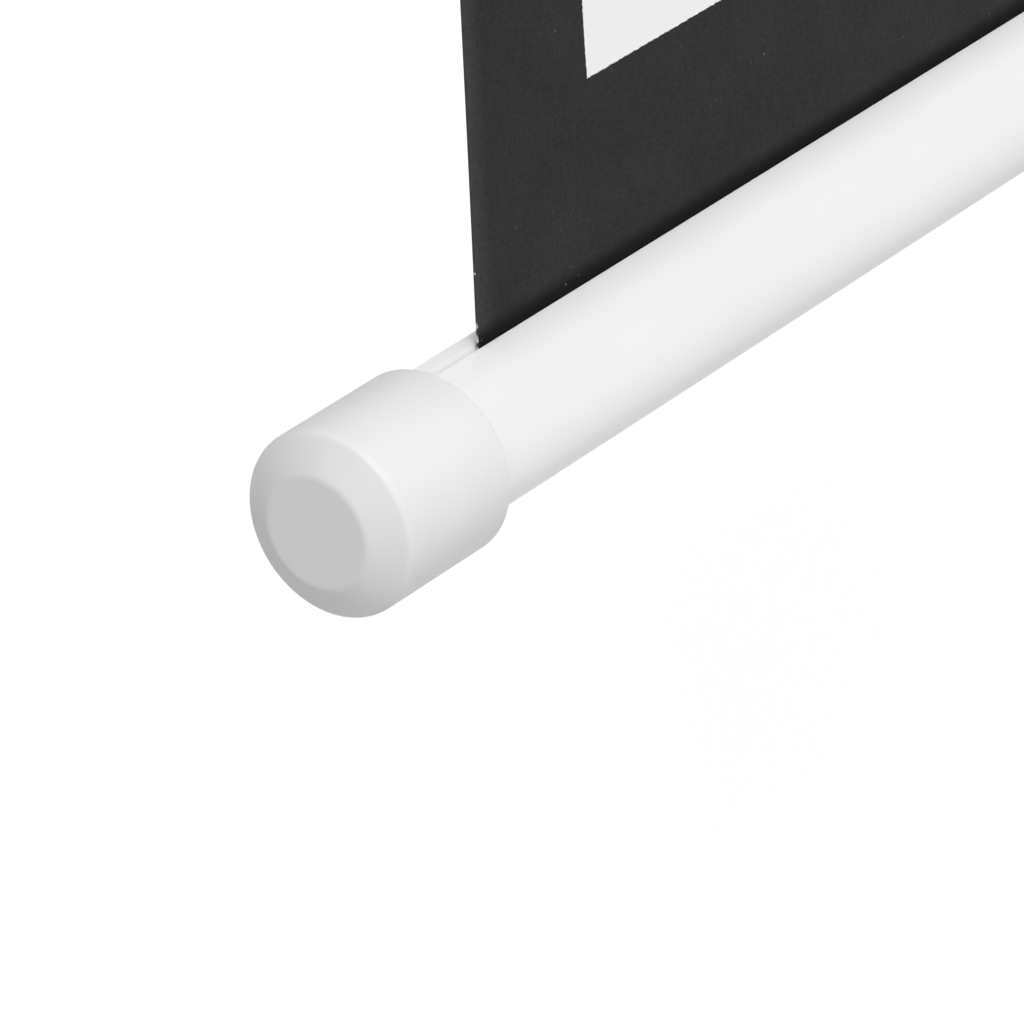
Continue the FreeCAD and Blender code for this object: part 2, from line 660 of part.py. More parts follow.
def pawl_pins():
    pins = []
    start = f"-{ROLLER_HALF} + {LOCK_FACE} + loose_gap"
    for name, place in PAWL_PLACES.items():
        body = new_body(name + "_pin", start, ROLLER_Y, ROLLER_Z)
        sketch = new_sketch(body, "YZ_Plane")
        across = f"pawl_circle * cos({place} * 1deg)"
        draw_circle(sketch, across, f"pawl_circle * sin({place} * 1deg)", "pawl_pin_radius")
        extrude("Pad", sketch, "ratchet_recess - cover_thickness - loose_gap + pawl_pin_grip")
        pins.append(body)
    return group("pawl_pins", pins)


def pawl(label):
    """A lock pawl, lifted clear of the wheel."""
    body = new_body(label, f"-{ROLLER_HALF} + {WHEEL_START} + loose_gap", ROLLER_Y, ROLLER_Z)
    sketch = new_sketch(body, "YZ_Plane")
    draw_outline(sketch, pawl_outline("0"))
    draw_circle(sketch, "0", "0", "pawl_pin_radius + running_gap")
    turn_to_pawl(sketch, PAWL_PLACES[label], "pawl_lean")
    extrude("Pad", sketch, "pawl_width")
    return body


def idle_plug():
    bore = "shaft_radius + seat_gap"
    return turned_part("idle_plug", (
        ("-idle_plug_length", bore),
        ("plug_flange", bore),
        ("plug_flange", "roller_radius"),
        ("0", "roller_radius"),
        ("0", f"{ROLLER_BORE} - running_gap"),
        ("-idle_plug_length", f"{ROLLER_BORE} - running_gap"),
    ), ROLLER_HALF, ROLLER_Y, ROLLER_Z)


def idle_pin():
    body = new_body("idle_pin", f"{ROLLER_HALF} - idle_pin_grip", ROLLER_Y, ROLLER_Z)
    sketch = new_sketch(body, "YZ_Plane")
    draw_circle(sketch, "0", "0", "shaft_radius")
    extrude("Pad", sketch, "end_room - idle_pin_short + idle_pin_grip")
    return body


def idle_bush():
    """A flanged plain bearing in the right case end."""
    bore = "shaft_radius + running_gap"
    sleeve = f"{bore} + bush_wall"
    return turned_part("idle_bush", (
        ("-end_boss - bush_flange", bore),
        ("0", bore),
        ("0", sleeve),
        ("-end_boss", sleeve),
        ("-end_boss", f"{sleeve} + bush_flange_rim"),
        ("-end_boss - bush_flange", f"{sleeve} + bush_flange_rim"),
    ), CASE_HALF, ROLLER_Y, ROLLER_Z)


# Cloth

def screen_fabric():
    """The cloth from the roller to the lower edge of the image."""
    body = new_body("screen_fabric", "0", CLOTH_Y, ROLLER_Z)
    sketch = new_sketch(body, "YZ_Plane")
    draw_box(sketch, "-cloth_thickness / 2", "cloth_thickness / 2", IMAGE_FOOT, "0")
    extrude("Pad", sketch, CLOTH_WIDTH, symmetric=True)
    return body


def fabric_lower_border():
    """The black border below the image, ending in a sleeve round the hem rod."""
    body = new_body("fabric_lower_border", "0", CLOTH_Y, BAR_Z)
    sketch = new_sketch(body, "YZ_Plane")
    sleeve_top = f"{HEM_Z} + hem_rod_radius + running_gap"
    draw_box(sketch, "-cloth_thickness / 2", "cloth_thickness / 2", sleeve_top, "bar_radius + lower_border")
    extrude("Pad", sketch, CLOTH_WIDTH, symmetric=True)
    sketch = new_sketch(body, "YZ_Plane")
    draw_circle(sketch, "0", HEM_Z, "hem_rod_radius + running_gap + cloth_thickness")
    draw_circle(sketch, "0", HEM_Z, "hem_rod_radius + running_gap")
    extrude("Pad", sketch, CLOTH_WIDTH, symmetric=True)
    return body


def hem_rod():
    body = new_body("hem_rod", "0", CLOTH_Y, BAR_Z)
    sketch = new_sketch(body, "YZ_Plane")
    draw_circle(sketch, "0", HEM_Z, "hem_rod_radius")
    extrude("Pad", sketch, CLOTH_WIDTH, symmetric=True)
    return body


# Weight bar

def saddle_screw_places():
    return ("-saddle_screw_spacing / 2", "saddle_screw_spacing / 2")


def weight_bar():
    """A rolled steel tube with a slot along its top, the slot's edges turned in."""
    body = new_body("weight_bar", "0", CLOTH_Y, BAR_Z)
    length = f"2 * ({BAR_HALF_SPAN} + cap_socket - loose_gap)"
    sketch = new_sketch(body, "YZ_Plane")
    draw_circle(sketch, "0", "0", "bar_radius")
    draw_circle(sketch, "0", "0", "bar_radius - bar_wall")
    extrude("Pad", sketch, length, symmetric=True)
    sketch = new_sketch(body, "YZ_Plane")
    inner, outer = "bar_slot / 2", "bar_slot / 2 + bar_lip_wall"
    low, high = "bar_radius - bar_lip", "bar_radius - bar_wall / 2"
    draw_box(sketch, inner, outer, low, high)
    draw_box(sketch, f"-({outer})", f"-{inner}", low, high)
    extrude("Pad", sketch, length, symmetric=True)
    sketch = new_sketch(body, "YZ_Plane")
    draw_box(sketch, "-bar_slot / 2", "bar_slot / 2", "bar_radius - 2 * bar_wall", "bar_radius + bar_wall")
    extrude("Pocket", sketch, f"2 * {length}", symmetric=True)
    sketch = new_sketch(body, "XY_Plane")
    for x in saddle_screw_places():
        draw_circle(sketch, x, "0", "saddle_screw_radius + seat_gap")
    extrude("Pocket", sketch, "bar_radius + bar_wall")
    half_slot = value("bar_slot / 2")

    def slot_edge(middle):
        return near(abs(middle.y), half_slot) and middle.z > value("bar_radius - bar_wall / 2")
    round_edges(body, "bar_edge_round", lambda middle: slot_edge(middle) and near(middle.x, 0))
    return body


def bar_cap(label, side, turn):
    """A moulded cap pushed over the end of the bar: it hangs a little low on the loose fit."""
    foot = "-cap_length - cap_bevel"
    hollow = "cap_plug_radius - cap_plug_wall"
    plug_end = "-cap_plug_inset"
    return turned_part(label, (
        ("0", CAP_BORE),
        ("0", "cap_radius", "cap_rim_round"),
        ("-cap_length", "cap_radius", "cap_edge_round"),
        (foot, "cap_face_radius", "cap_face_round"),
        (foot, "0"),
        (f"{foot} + cap_floor", "0"),
        (f"{foot} + cap_floor", hollow),
        (plug_end, hollow),
        (plug_end, "cap_plug_radius"),
        ("-cap_socket", "cap_plug_radius"),
        ("-cap_socket", CAP_BORE),
    ), f"{side}{BAR_HALF_SPAN}", CLOTH_Y, f"{BAR_Z} - cap_droop", turn)


# Pull handle

def handle_saddle():
    """A moulded cradle screwed under the middle of the bar, with two ears for the handle pin."""
    body = new_body("handle_saddle", "0", CLOTH_Y, BAR_Z)
    half = "bar_radius + saddle_wall"
    sketch = new_sketch(body, "YZ_Plane")
    draw_outline(sketch, (
        (f"-({half})", SADDLE_FLOOR, "saddle_round"),
        (half, SADDLE_FLOOR, "saddle_round"),
        (half, "-saddle_rise"),
        (f"-({half})", "-saddle_rise"),
    ))
    extrude("Pad", sketch, "saddle_length", symmetric=True)
    for side in ("-", ""):
        middle = f"{side}(ear_gap + ear_wall) / 2"
        sketch = new_sketch(body, "YZ_Plane", f"{middle} - ear_wall / 2")
        foot, root = "-handle_drop - ear_width / 2", f"{SADDLE_FLOOR} + saddle_wall / 2"
        rounding = f"{NEARLY_ROUND} * ear_width / 2"
        draw_outline(sketch, (
            ("-ear_width / 2", foot, rounding),
            ("ear_width / 2", foot, rounding),
            ("ear_width / 2", root),
            ("-ear_width / 2", root),
        ))
        extrude("Pad", sketch, "ear_wall")
    sketch = new_sketch(body, "YZ_Plane")
    draw_circle(sketch, "0", "0", "bar_radius + running_gap")
    draw_circle(sketch, "0", "-handle_drop", "handle_pin_radius + seat_gap")
    extrude("Pocket", sketch, "2 * saddle_length", symmetric=True)
    sketch = new_sketch(body, "XY_Plane")
    for x in saddle_screw_places():
        draw_circle(sketch, x, "0", "saddle_screw_radius + slip_gap")
    extrude("Pocket", sketch, "2 * bar_radius")
    return body


def handle_screws():
    sizes = ("saddle_screw_radius", "saddle_screw_length", "saddle_screw_head_radius", "saddle_screw_head")
    screws = []
    for x in saddle_screw_places():
        label = f"handle_screw_{len(screws) + 1}"
        screws.append(screw(label, sizes, x, CLOTH_Y, f"{BAR_Z} + {SADDLE_FLOOR}", POINT_UP))
    return group("handle_screws", screws)


def handle_pin():
    body = new_body("handle_pin", "0", CLOTH_Y, HANDLE_Z)
    sketch = new_sketch(body, "YZ_Plane")
    draw_circle(sketch, "0", "0", "handle_pin_radius")
    extrude("Pad", sketch, "ear_gap + 2 * ear_wall", symmetric=True)
    return body


def pull_loop():
    """A moulded loop for the fingers, hanging from the handle pin."""
    body = new_body("pull_loop", "0", CLOTH_Y, HANDLE_Z)
    top, foot = "-loop_neck", "-loop_neck - loop_height"
    shoulder, half = "loop_shoulder / 2", "loop_width / 2"
    sketch = new_sketch(body, "XZ_Plane")
    draw_outline(sketch, (
        (f"-{half}", foot, "loop_round"),
        (half, foot, "loop_round"),
        (shoulder, top, "loop_shoulder_round"),
        (f"-{shoulder}", top, "loop_shoulder_round"),
    ))
    draw_outline(sketch, (
        (f"-({half} - loop_side)", f"{foot} + loop_stroke", "loop_shoulder_round"),
        (f"{half} - loop_side", f"{foot} + loop_stroke", "loop_shoulder_round"),
        (f"{shoulder} - loop_stroke", f"{top} - loop_stroke", "loop_inner_round"),
        (f"-({shoulder} - loop_stroke)", f"{top} - loop_stroke", "loop_inner_round"),
    ))
    extrude("Pad", sketch, "loop_thickness", symmetric=True)
    face = value("loop_thickness / 2")
    round_edges(body, "loop_edge_round", lambda middle: near(abs(middle.y), face))
    hub = "ear_gap - 2 * loose_gap"
    sketch = new_sketch(body, "YZ_Plane")
    draw_box(sketch, "-loop_web / 2", "loop_web / 2", f"{top} - loop_stroke / 2", "0")
    extrude("Pad", sketch, hub, symmetric=True)
    sketch = new_sketch(body, "YZ_Plane")
    draw_circle(sketch, "0", "0", "loop_hub_radius")
    extrude("Pad", sketch, hub, symmetric=True)
    sketch = new_sketch(body, "YZ_Plane")
    draw_circle(sketch, "0", "0", "handle_pin_radius + running_gap")
    extrude("Pocket", sketch, "2 * ear_gap", symmetric=True)
    return body


NODES = [
    case_shell(),
    case_end("case_end_left", "-"),
    case_end("case_end_right", ""),
    end_screws(),
    mount_angle("mount_angle_left", "-"),
    mount_angle("mount_angle_right", ""),
    bracket_bolts(),
    bracket_nuts(),
    spear_shaft(),
    ratchet_wheel(),
    torsion_spring(),
    spring_anchor(),
    idle_bush(),
    tube("roller_tube", ROLLER_BORE, "roller_radius", f"2 * {ROLLER_HALF}", ROLLER_Y, ROLLER_Z),
    drive_plug(),
    ratchet_cover(),
    pawl_pins(),
    pawl("pawl_upper"),
    pawl("pawl_lower"),
    idle_plug(),
    idle_pin(),
    tube("fabric_wraps", WRAP_INSIDE, WRAP_OUTSIDE, CLOTH_WIDTH, ROLLER_Y, ROLLER_Z),
    screen_fabric(),
    fabric_lower_border(),
    hem_rod(),
    weight_bar(),
    bar_cap("bar_cap_left", "-", None),
    bar_cap("bar_cap_right", "", TURN_ROUND),
    handle_saddle(),
    handle_screws(),
    handle_pin(),
    pull_loop(),
]
doc.recompute()

# Every object must have built, and every node must be whole, before anything is written
for item in doc.Objects:
    if "Invalid" in item.State or "Error" in item.State:
        raise RuntimeError(f"{item.Label} failed: {item.State}")
for node in NODES:
    if node.Shape.isNull() or not node.Shape.isValid() or not node.Shape.Solids:
        raise RuntimeError(f"{node.Label} has no valid solid")

os.makedirs("parts", exist_ok=True)
for node in NODES:
    node.Shape.exportStep(f"parts/{node.Label}.step")
    print(node.Label, len(node.Shape.Solids), round(node.Shape.Volume, 1))
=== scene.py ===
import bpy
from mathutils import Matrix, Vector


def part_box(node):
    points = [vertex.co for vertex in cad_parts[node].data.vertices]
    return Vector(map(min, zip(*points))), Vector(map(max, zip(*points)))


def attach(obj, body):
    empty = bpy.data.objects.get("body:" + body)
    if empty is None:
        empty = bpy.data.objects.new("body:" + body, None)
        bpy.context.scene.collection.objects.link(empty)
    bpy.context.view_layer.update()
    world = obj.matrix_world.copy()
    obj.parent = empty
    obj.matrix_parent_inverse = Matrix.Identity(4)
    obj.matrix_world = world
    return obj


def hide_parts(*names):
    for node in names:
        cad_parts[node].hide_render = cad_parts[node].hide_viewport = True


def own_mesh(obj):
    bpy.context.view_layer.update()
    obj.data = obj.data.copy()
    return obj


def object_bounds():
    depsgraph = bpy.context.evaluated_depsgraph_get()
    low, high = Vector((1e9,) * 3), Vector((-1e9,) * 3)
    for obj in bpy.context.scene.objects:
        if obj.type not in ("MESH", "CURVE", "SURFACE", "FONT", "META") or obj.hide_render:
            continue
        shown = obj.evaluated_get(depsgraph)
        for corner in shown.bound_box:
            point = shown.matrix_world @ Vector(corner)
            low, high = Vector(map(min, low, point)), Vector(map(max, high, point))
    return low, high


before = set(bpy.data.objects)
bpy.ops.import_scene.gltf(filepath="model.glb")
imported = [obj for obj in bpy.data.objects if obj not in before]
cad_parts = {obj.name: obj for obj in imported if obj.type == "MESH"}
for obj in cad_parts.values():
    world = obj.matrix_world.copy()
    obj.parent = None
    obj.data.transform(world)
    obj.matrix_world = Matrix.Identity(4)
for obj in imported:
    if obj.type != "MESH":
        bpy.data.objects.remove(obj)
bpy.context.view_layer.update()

import math

import bpy
from mathutils import Matrix, Vector


# Case: one long sheet of steel, about 1 mm thick, rolled to a section with a flat back and a rounded front.
# The sheet's two edges are turned up beside a slot in the floor, and the whole is powder coated white.
# It holds the roller between its two ends.

MM = 0.001
SHARP_ANGLE = 35


def linear(hex_colour):
    """Turn an sRGB hex colour into the linear colour that a shader takes."""
    channels = [int(hex_colour[i:i + 2], 16) / 255 for i in (1, 3, 5)]
    return [c / 12.92 if c <= 0.04045 else ((c + 0.055) / 1.055) ** 2.4 for c in channels] + [1.0]


def per_mm(size):
    """The texture scale whose features are about this many millimetres across."""
    return 1.0 / (size * MM)


def add_node(tree, kind, settings=None, inputs=None):
    """Add a node, set its settings, and fill or link its inputs."""
    node = tree.nodes.new(kind)
    for name, setting in (settings or {}).items():
        setattr(node, name, setting)
    for socket, source in (inputs or {}).items():
        if isinstance(source, bpy.types.NodeSocket):
            tree.links.new(source, node.inputs[socket])
        else:
            node.inputs[socket].default_value = source
    return node


def new_finish(name, sockets):
    """A material with one principled shader, whose plain sockets are set here."""
    material = bpy.data.materials.new(name)
    material.use_nodes = True
    tree = material.node_tree
    tree.nodes.clear()
    shader = add_node(tree, "ShaderNodeBsdfPrincipled", inputs=sockets)
    add_node(tree, "ShaderNodeOutputMaterial", inputs={"Surface": shader.outputs["BSDF"]})
    return material, tree, shader


def spread(start, end, count):
    """Even steps from start to end, both of them included."""
    return [start + (end - start) * i / count for i in range(count + 1)]


def rounded_path(corners, steps):
    """Points along straight runs whose inner corners (across, up, radius) are turned with arcs."""
    path = [Vector(corners[0][:2])]
    for before, corner, after in zip(corners, corners[1:], corners[2:]):
        spot = Vector(corner[:2])
        back = (Vector(before[:2]) - spot).normalized()
        ahead = (Vector(after[:2]) - spot).normalized()
        half = back.angle(ahead) / 2
        centre = spot + (back + ahead).normalized() * corner[2] / math.sin(half)
        start = spot + back * corner[2] / math.tan(half) - centre
        sweep = math.pi - 2 * half
        if back.x * ahead.y - back.y * ahead.x > 0:
            sweep = -sweep
        for turn in spread(0, sweep, steps):
            path.append(centre + Matrix.Rotation(turn, 2) @ start)
    path.append(Vector(corners[-1][:2]))
    return path


def sheet_sides(path, thickness):
    """The two faces of a bent sheet, half its thickness to each side of its middle line."""
    left, right = [], []
    for i, spot in enumerate(path):
        along = path[min(i + 1, len(path) - 1)] - path[max(i - 1, 0)]
        normal = Vector((-along.y, along.x)).normalized() * thickness / 2
        left.append(spot + normal)
        right.append(spot - normal)
    return left, right


def add_piece(name, points, faces, finishes, sharp_angle=SHARP_ANGLE):
    """A mesh object in metres, smooth except across sharp edges."""
    mesh = bpy.data.meshes.new(name)
    mesh.from_pydata([tuple(point) for point in points], [], faces)
    for finish in finishes:
        mesh.materials.append(finish)
    mesh.shade_smooth()
    mesh.set_sharp_from_angle(angle=math.radians(sharp_angle))
    piece = bpy.data.objects.new(name, mesh)
    bpy.context.scene.collection.objects.link(piece)
    return piece


def extruded_sheet(name, left, right, stations, finish):
    """A bent sheet, given by its two faces, run along X and closed at its edges and ends."""
    loop = left + right[::-1]
    count, half = len(loop), len(left)
    points = [(x, spot.x, spot.y) for x in stations for spot in loop]
    faces = []
    for station in range(len(stations) - 1):
        a, b = station * count, (station + 1) * count
        for i in range(count):
            j = (i + 1) % count
            faces.append((a + i, b + i, b + j, a + j))
    last = (len(stations) - 1) * count
    for i in range(half - 1):
        j = count - 1 - i
        faces.append((i, i + 1, j - 1, j))
        faces.append((last + j, last + j - 1, last + i + 1, last + i))
    return add_piece(name, points, faces, [finish])


# Sockets of a colour mix: its share and its two colours go in, and the mixed colour comes out
COLOURS = {"data_type": "RGBA"}
SHARE, FIRST, SECOND = 0, 6, 7
MIXED = 2

# Polyester powder coat: satin white, with a shallow orange peel and a few specks of dust baked into it.
# The pigment scatters light so evenly that a round bar looks almost flat under soft light.
# Pattern sizes here and below are in millimetres, and a speck's radius is a share of the specks' spacing
COAT_GLOSS = {"Roughness": 0.38, "IOR": 1.5, "Diffuse Roughness": 0.8}
PEEL_SIZE, PEEL_DEPTH, PEEL_STRENGTH = 1.1, 0.05 * MM, 0.12
COAT_DRIFT = 28
SPECK_SPACING, SPECK_RARE, SPECK_RADIUS = 7, 0.86, 0.03
powder_coat, tree, shader = new_finish("white_powder_coat", COAT_GLOSS)
place = add_node(tree, "ShaderNodeTexCoord").outputs["Object"]
peel = add_node(tree, "ShaderNodeTexNoise",
                inputs={"Vector": place, "Scale": per_mm(PEEL_SIZE), "Detail": 1.0})
drift = add_node(tree, "ShaderNodeTexNoise",
                 inputs={"Vector": place, "Scale": per_mm(COAT_DRIFT), "Detail": 3.0})
tone = add_node(tree, "ShaderNodeMix", COLOURS,
                {SHARE: drift.outputs["Fac"], FIRST: linear("#E2E2E2"), SECOND: linear("#E9E9E9")})
cells = add_node(tree, "ShaderNodeTexVoronoi", inputs={"Vector": place, "Scale": per_mm(SPECK_SPACING)})
rare = add_node(tree, "ShaderNodeSeparateColor", inputs={0: cells.outputs["Color"]})
chosen = add_node(tree, "ShaderNodeMath", {"operation": "GREATER_THAN"},
                  {0: rare.outputs[0], 1: SPECK_RARE})
small = add_node(tree, "ShaderNodeMath", {"operation": "LESS_THAN"},
                 {0: cells.outputs["Distance"], 1: SPECK_RADIUS})
speck = add_node(tree, "ShaderNodeMath", {"operation": "MULTIPLY"},
                 {0: chosen.outputs[0], 1: small.outputs[0]})
coat = add_node(tree, "ShaderNodeMix", COLOURS,
                {SHARE: speck.outputs[0], FIRST: tone.outputs[MIXED], SECOND: linear("#B4B4B4")})
relief = add_node(tree, "ShaderNodeBump",
                  inputs={"Strength": PEEL_STRENGTH, "Distance": PEEL_DEPTH, "Height": peel.outputs["Fac"]})
tree.links.new(coat.outputs[MIXED], shader.inputs["Base Color"])
tree.links.new(relief.outputs["Normal"], shader.inputs["Normal"])

CASE_SHEET = 1.0 * MM
CHIN_ROUND, BROW_ROUND, BACK_ROUND = 16 * MM, 22 * MM, 5 * MM
SLOT_HALF, SLOT_LIP, SLOT_FOLD = 9 * MM, 6 * MM, 1.6 * MM
CASE_ARC_STEPS, CASE_STATIONS = 14, 28
case_low, case_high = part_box("case_shell")
cloth_low, cloth_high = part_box("screen_fabric")
cloth_y = (cloth_low[1] + cloth_high[1]) / 2
half_sheet = CASE_SHEET / 2
front, back = case_low[1] + half_sheet, case_high[1] - half_sheet
floor, roof = case_low[2] + half_sheet, case_high[2] - half_sheet
lip_front, lip_rear = cloth_y - SLOT_HALF - half_sheet, cloth_y + SLOT_HALF + half_sheet
case_path = rounded_path((
    (lip_front, floor + SLOT_LIP),
    (lip_front, floor, SLOT_FOLD),
    (front, floor, CHIN_ROUND - half_sheet),
    (front, roof, BROW_ROUND - half_sheet),
    (back, roof, BACK_ROUND - half_sheet),
    (back, floor, BACK_ROUND - half_sheet),
    (lip_rear, floor, SLOT_FOLD),
    (lip_rear, floor + SLOT_LIP),
), CASE_ARC_STEPS)
case = extruded_sheet("case_rolled_shell", *sheet_sides(case_path, CASE_SHEET),
                      spread(case_low[0], case_high[0], CASE_STATIONS), powder_coat)
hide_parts("case_shell")
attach(case, "case")


# Case ends: two plates that plug into the case's ends and carry the roller.
# They are white ABS, injection moulded, a little greyer than the coat.
# Screws through the top of the case hold them.

# Moulded ABS: a soft sheen over the fine grain of a spark-eroded mould.
# The grain is drawn coarser than it really is, so that it shows
ABS_GLOSS = {"Roughness": 0.55, "IOR": 1.53}
ABS_GRAIN, ABS_GRAIN_DEPTH, ABS_GRAIN_STRENGTH = 0.5, 0.04 * MM, 0.10
ABS_FLOW = 16
moulded, tree, shader = new_finish("white_moulded_abs", ABS_GLOSS)
place = add_node(tree, "ShaderNodeTexCoord").outputs["Object"]
grain = add_node(tree, "ShaderNodeTexNoise",
                 inputs={"Vector": place, "Scale": per_mm(ABS_GRAIN), "Detail": 2.0})
flow = add_node(tree, "ShaderNodeTexNoise",
                inputs={"Vector": place, "Scale": per_mm(ABS_FLOW), "Detail": 2.0})
tone = add_node(tree, "ShaderNodeMix", COLOURS,
                {SHARE: flow.outputs["Fac"], FIRST: linear("#E0E0E0"), SECOND: linear("#E7E7E7")})
relief = add_node(tree, "ShaderNodeBump",
                  inputs={"Strength": ABS_GRAIN_STRENGTH, "Distance": ABS_GRAIN_DEPTH,
                          "Height": grain.outputs["Fac"]})
tree.links.new(tone.outputs[MIXED], shader.inputs["Base Color"])
tree.links.new(relief.outputs["Normal"], shader.inputs["Normal"])


def dress(finish, *nodes):
    """Give CAD nodes that stay as they are a finish."""
    for node in nodes:
        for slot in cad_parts[node].material_slots:
            slot.material = finish


dress(moulded, "case_end_left", "case_end_right")


# Mounting angles, nuts, handle pin and roller tube: steel that is folded, cut or rolled, then zinc plated.
# The angles are screwed to the wall and bolted on the case's top, into square nuts inside it.

# Bright zinc plate: a cool grey metal with a soft cloudy spangle, which is also duller in places
SPANGLE = 5
ZINC_BRIGHT, ZINC_DULL = 0.30, 0.46
zinc, tree, shader = new_finish("bright_zinc_plate", {"Metallic": 1.0})
place = add_node(tree, "ShaderNodeTexCoord").outputs["Object"]
cloud = add_node(tree, "ShaderNodeTexNoise",
                 inputs={"Vector": place, "Scale": per_mm(SPANGLE), "Detail": 4.0})
tone = add_node(tree, "ShaderNodeMix", COLOURS,
                {SHARE: cloud.outputs["Fac"], FIRST: linear("#B3B6B8"), SECOND: linear("#D2D4D5")})
polish = add_node(tree, "ShaderNodeMapRange",
                  inputs={"Value": cloud.outputs["Fac"], "To Min": ZINC_BRIGHT, "To Max": ZINC_DULL})
tree.links.new(tone.outputs[MIXED], shader.inputs["Base Color"])
tree.links.new(polish.outputs["Result"], shader.inputs["Roughness"])
dress(zinc, "mount_angle_left", "mount_angle_right", "bracket_nuts", "handle_pin", "roller_tube")


# Angle bolts and case end screws: pan-head screws with a cross recess, cold headed in steel and zinc plated.
# Four bolts hold the angles on the case's top, and four smaller screws hold the case ends.
# Each was left turned another way when it was driven home.

TURN_STEPS, SCREW_ARC_STEPS, RECESS_RINGS = 96, 6, 16
HEAD_ROUND, SEAT_ROUND, POINT_ROUND = 0.7, 0.15, 0.4
RECESS_REACH, RECESS_HALF, RECESS_SLOPE, RECESS_DEPTH = 0.66, 0.17, 0.10, 0.6
DRIVEN_TURN = 0.7
DECIMALS = 5
UP, DOWN = 1, -1


def turned(profile, place, dent=None):
    """Points and faces of a piece turned about its own X axis and then put in its place.

    The profile (along, radius) starts and ends on the axis.
    dent(along, across, out) gives how far a point is sunk along X."""
    spots = [(profile[0].x, 0.0, 0.0)]
    for spot in profile[1:-1]:
        for turn in spread(0, 2 * math.pi, TURN_STEPS)[:-1]:
            spots.append((spot.x, spot.y * math.cos(turn), spot.y * math.sin(turn)))
    spots.append((profile[-1].x, 0.0, 0.0))
    if dent:
        spots = [(along - dent(along, across, out), across, out) for along, across, out in spots]
    last = len(spots) - 1
    final_ring = last - TURN_STEPS
    faces = []
    for i in range(TURN_STEPS):
        j = (i + 1) % TURN_STEPS
        faces.append((0, 1 + j, 1 + i))
        for a in range(1, final_ring, TURN_STEPS):
            b = a + TURN_STEPS
            faces.append((a + i, a + j, b + j, b + i))
        faces.append((last, final_ring + i, final_ring + j))
    return [place @ Vector(spot) for spot in spots], faces


def limit(share):
    """The share, kept between 0 and 1."""
    return min(max(share, 0.0), 1.0)


def pan_screws(name, node, shank, head_radius, head, way):
    """Screws at the corners of the node's box, with their heads up or down.

    A box that is only as deep as a head has one row of them."""
    low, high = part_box(node)
    length = high[2] - low[2] - head
    seat = high[2] - head if way == UP else low[2] + head
    profile = rounded_path((
        (-length, 0.0),
        (-length, shank, POINT_ROUND * shank),
        (0.0, shank, SEAT_ROUND * shank),
        (0.0, head_radius, SEAT_ROUND * head),
        (head, head_radius, HEAD_ROUND * head),
        (head, 0.0),
    ), SCREW_ARC_STEPS)
    profile[-1:] = [Vector((head, radius)) for radius in spread(profile[-2].y, 0.0, RECESS_RINGS)[1:]]

    def cross_recess(along, across, out):
        """How deep the cross is at a point of the head's top."""
        near, far = sorted((abs(across) / head_radius, abs(out) / head_radius))
        if along < head:
            return 0.0
        sunk = limit((RECESS_REACH - far) / RECESS_SLOPE) * limit((RECESS_HALF - near) / RECESS_SLOPE)
        return RECESS_DEPTH * head * sunk

    points, faces = [], []
    for x in (low[0] + head_radius, high[0] - head_radius):
        for y in sorted({round(low[1] + head_radius, DECIMALS), round(high[1] - head_radius, DECIMALS)}):
            place = Matrix.Translation((x, y, seat)) @ Matrix.Rotation(-way * math.pi / 2, 4, "Y")
            place = place @ Matrix.Rotation(DRIVEN_TURN * len(points), 4, "X")
            more_points, more_faces = turned(profile, place, cross_recess)
            faces += [tuple(len(points) + corner for corner in face) for face in more_faces]
            points += more_points
    screws = add_piece(name, points, faces, [zinc])
    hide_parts(node)
    return screws


angle_bolts = pan_screws("angle_bolts", "bracket_bolts",
                         shank=2.5 * MM, head_radius=4.5 * MM, head=3.0 * MM, way=UP)
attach(angle_bolts, "case")
end_screws = pan_screws("case_end_screws", "end_screws",
                        shank=1.5 * MM, head_radius=3.0 * MM, head=2.0 * MM, way=UP)
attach(end_screws, "case")


# Lock and spring: a steel spear, held by its tang in the left case end, has a ratchet wheel fixed on it.
# Two pawls on pins in the drive plug fall into the wheel's notches under a steel cover.
# The spring, of oiled wire, is wound between the drive plug and an anchor on the spear.

# Bright drawn steel: a grey metal with long lines from the die, some of them duller.
# The lines are drawn wider than they really are, so that they show
LINE_LENGTH, LINE_WIDTH = 12, 0.4
STEEL_BRIGHT, STEEL_DULL = 0.22, 0.40
steel, tree, shader = new_finish("bright_drawn_steel", {"Metallic": 1.0})
place = add_node(tree, "ShaderNodeTexCoord").outputs["Object"]
line_scale = (per_mm(LINE_LENGTH), per_mm(LINE_WIDTH), per_mm(LINE_WIDTH))
long_way = add_node(tree, "ShaderNodeMapping", inputs={"Vector": place, "Scale": line_scale})
lines = add_node(tree, "ShaderNodeTexNoise",
                 inputs={"Vector": long_way.outputs[0], "Scale": 1.0, "Detail": 2.0})
tone = add_node(tree, "ShaderNodeMix", COLOURS,
                {SHARE: lines.outputs["Fac"], FIRST: linear("#9C9DA0"), SECOND: linear("#C4C5C7")})
polish = add_node(tree, "ShaderNodeMapRange",
                  inputs={"Value": lines.outputs["Fac"], "To Min": STEEL_BRIGHT, "To Max": STEEL_DULL})
tree.links.new(tone.outputs[MIXED], shader.inputs["Base Color"])
tree.links.new(polish.outputs["Result"], shader.inputs["Roughness"])
dress(steel, "spear_shaft", "ratchet_wheel", "pawl_pins", "pawl_upper", "pawl_lower", "idle_pin",
      "ratchet_cover")

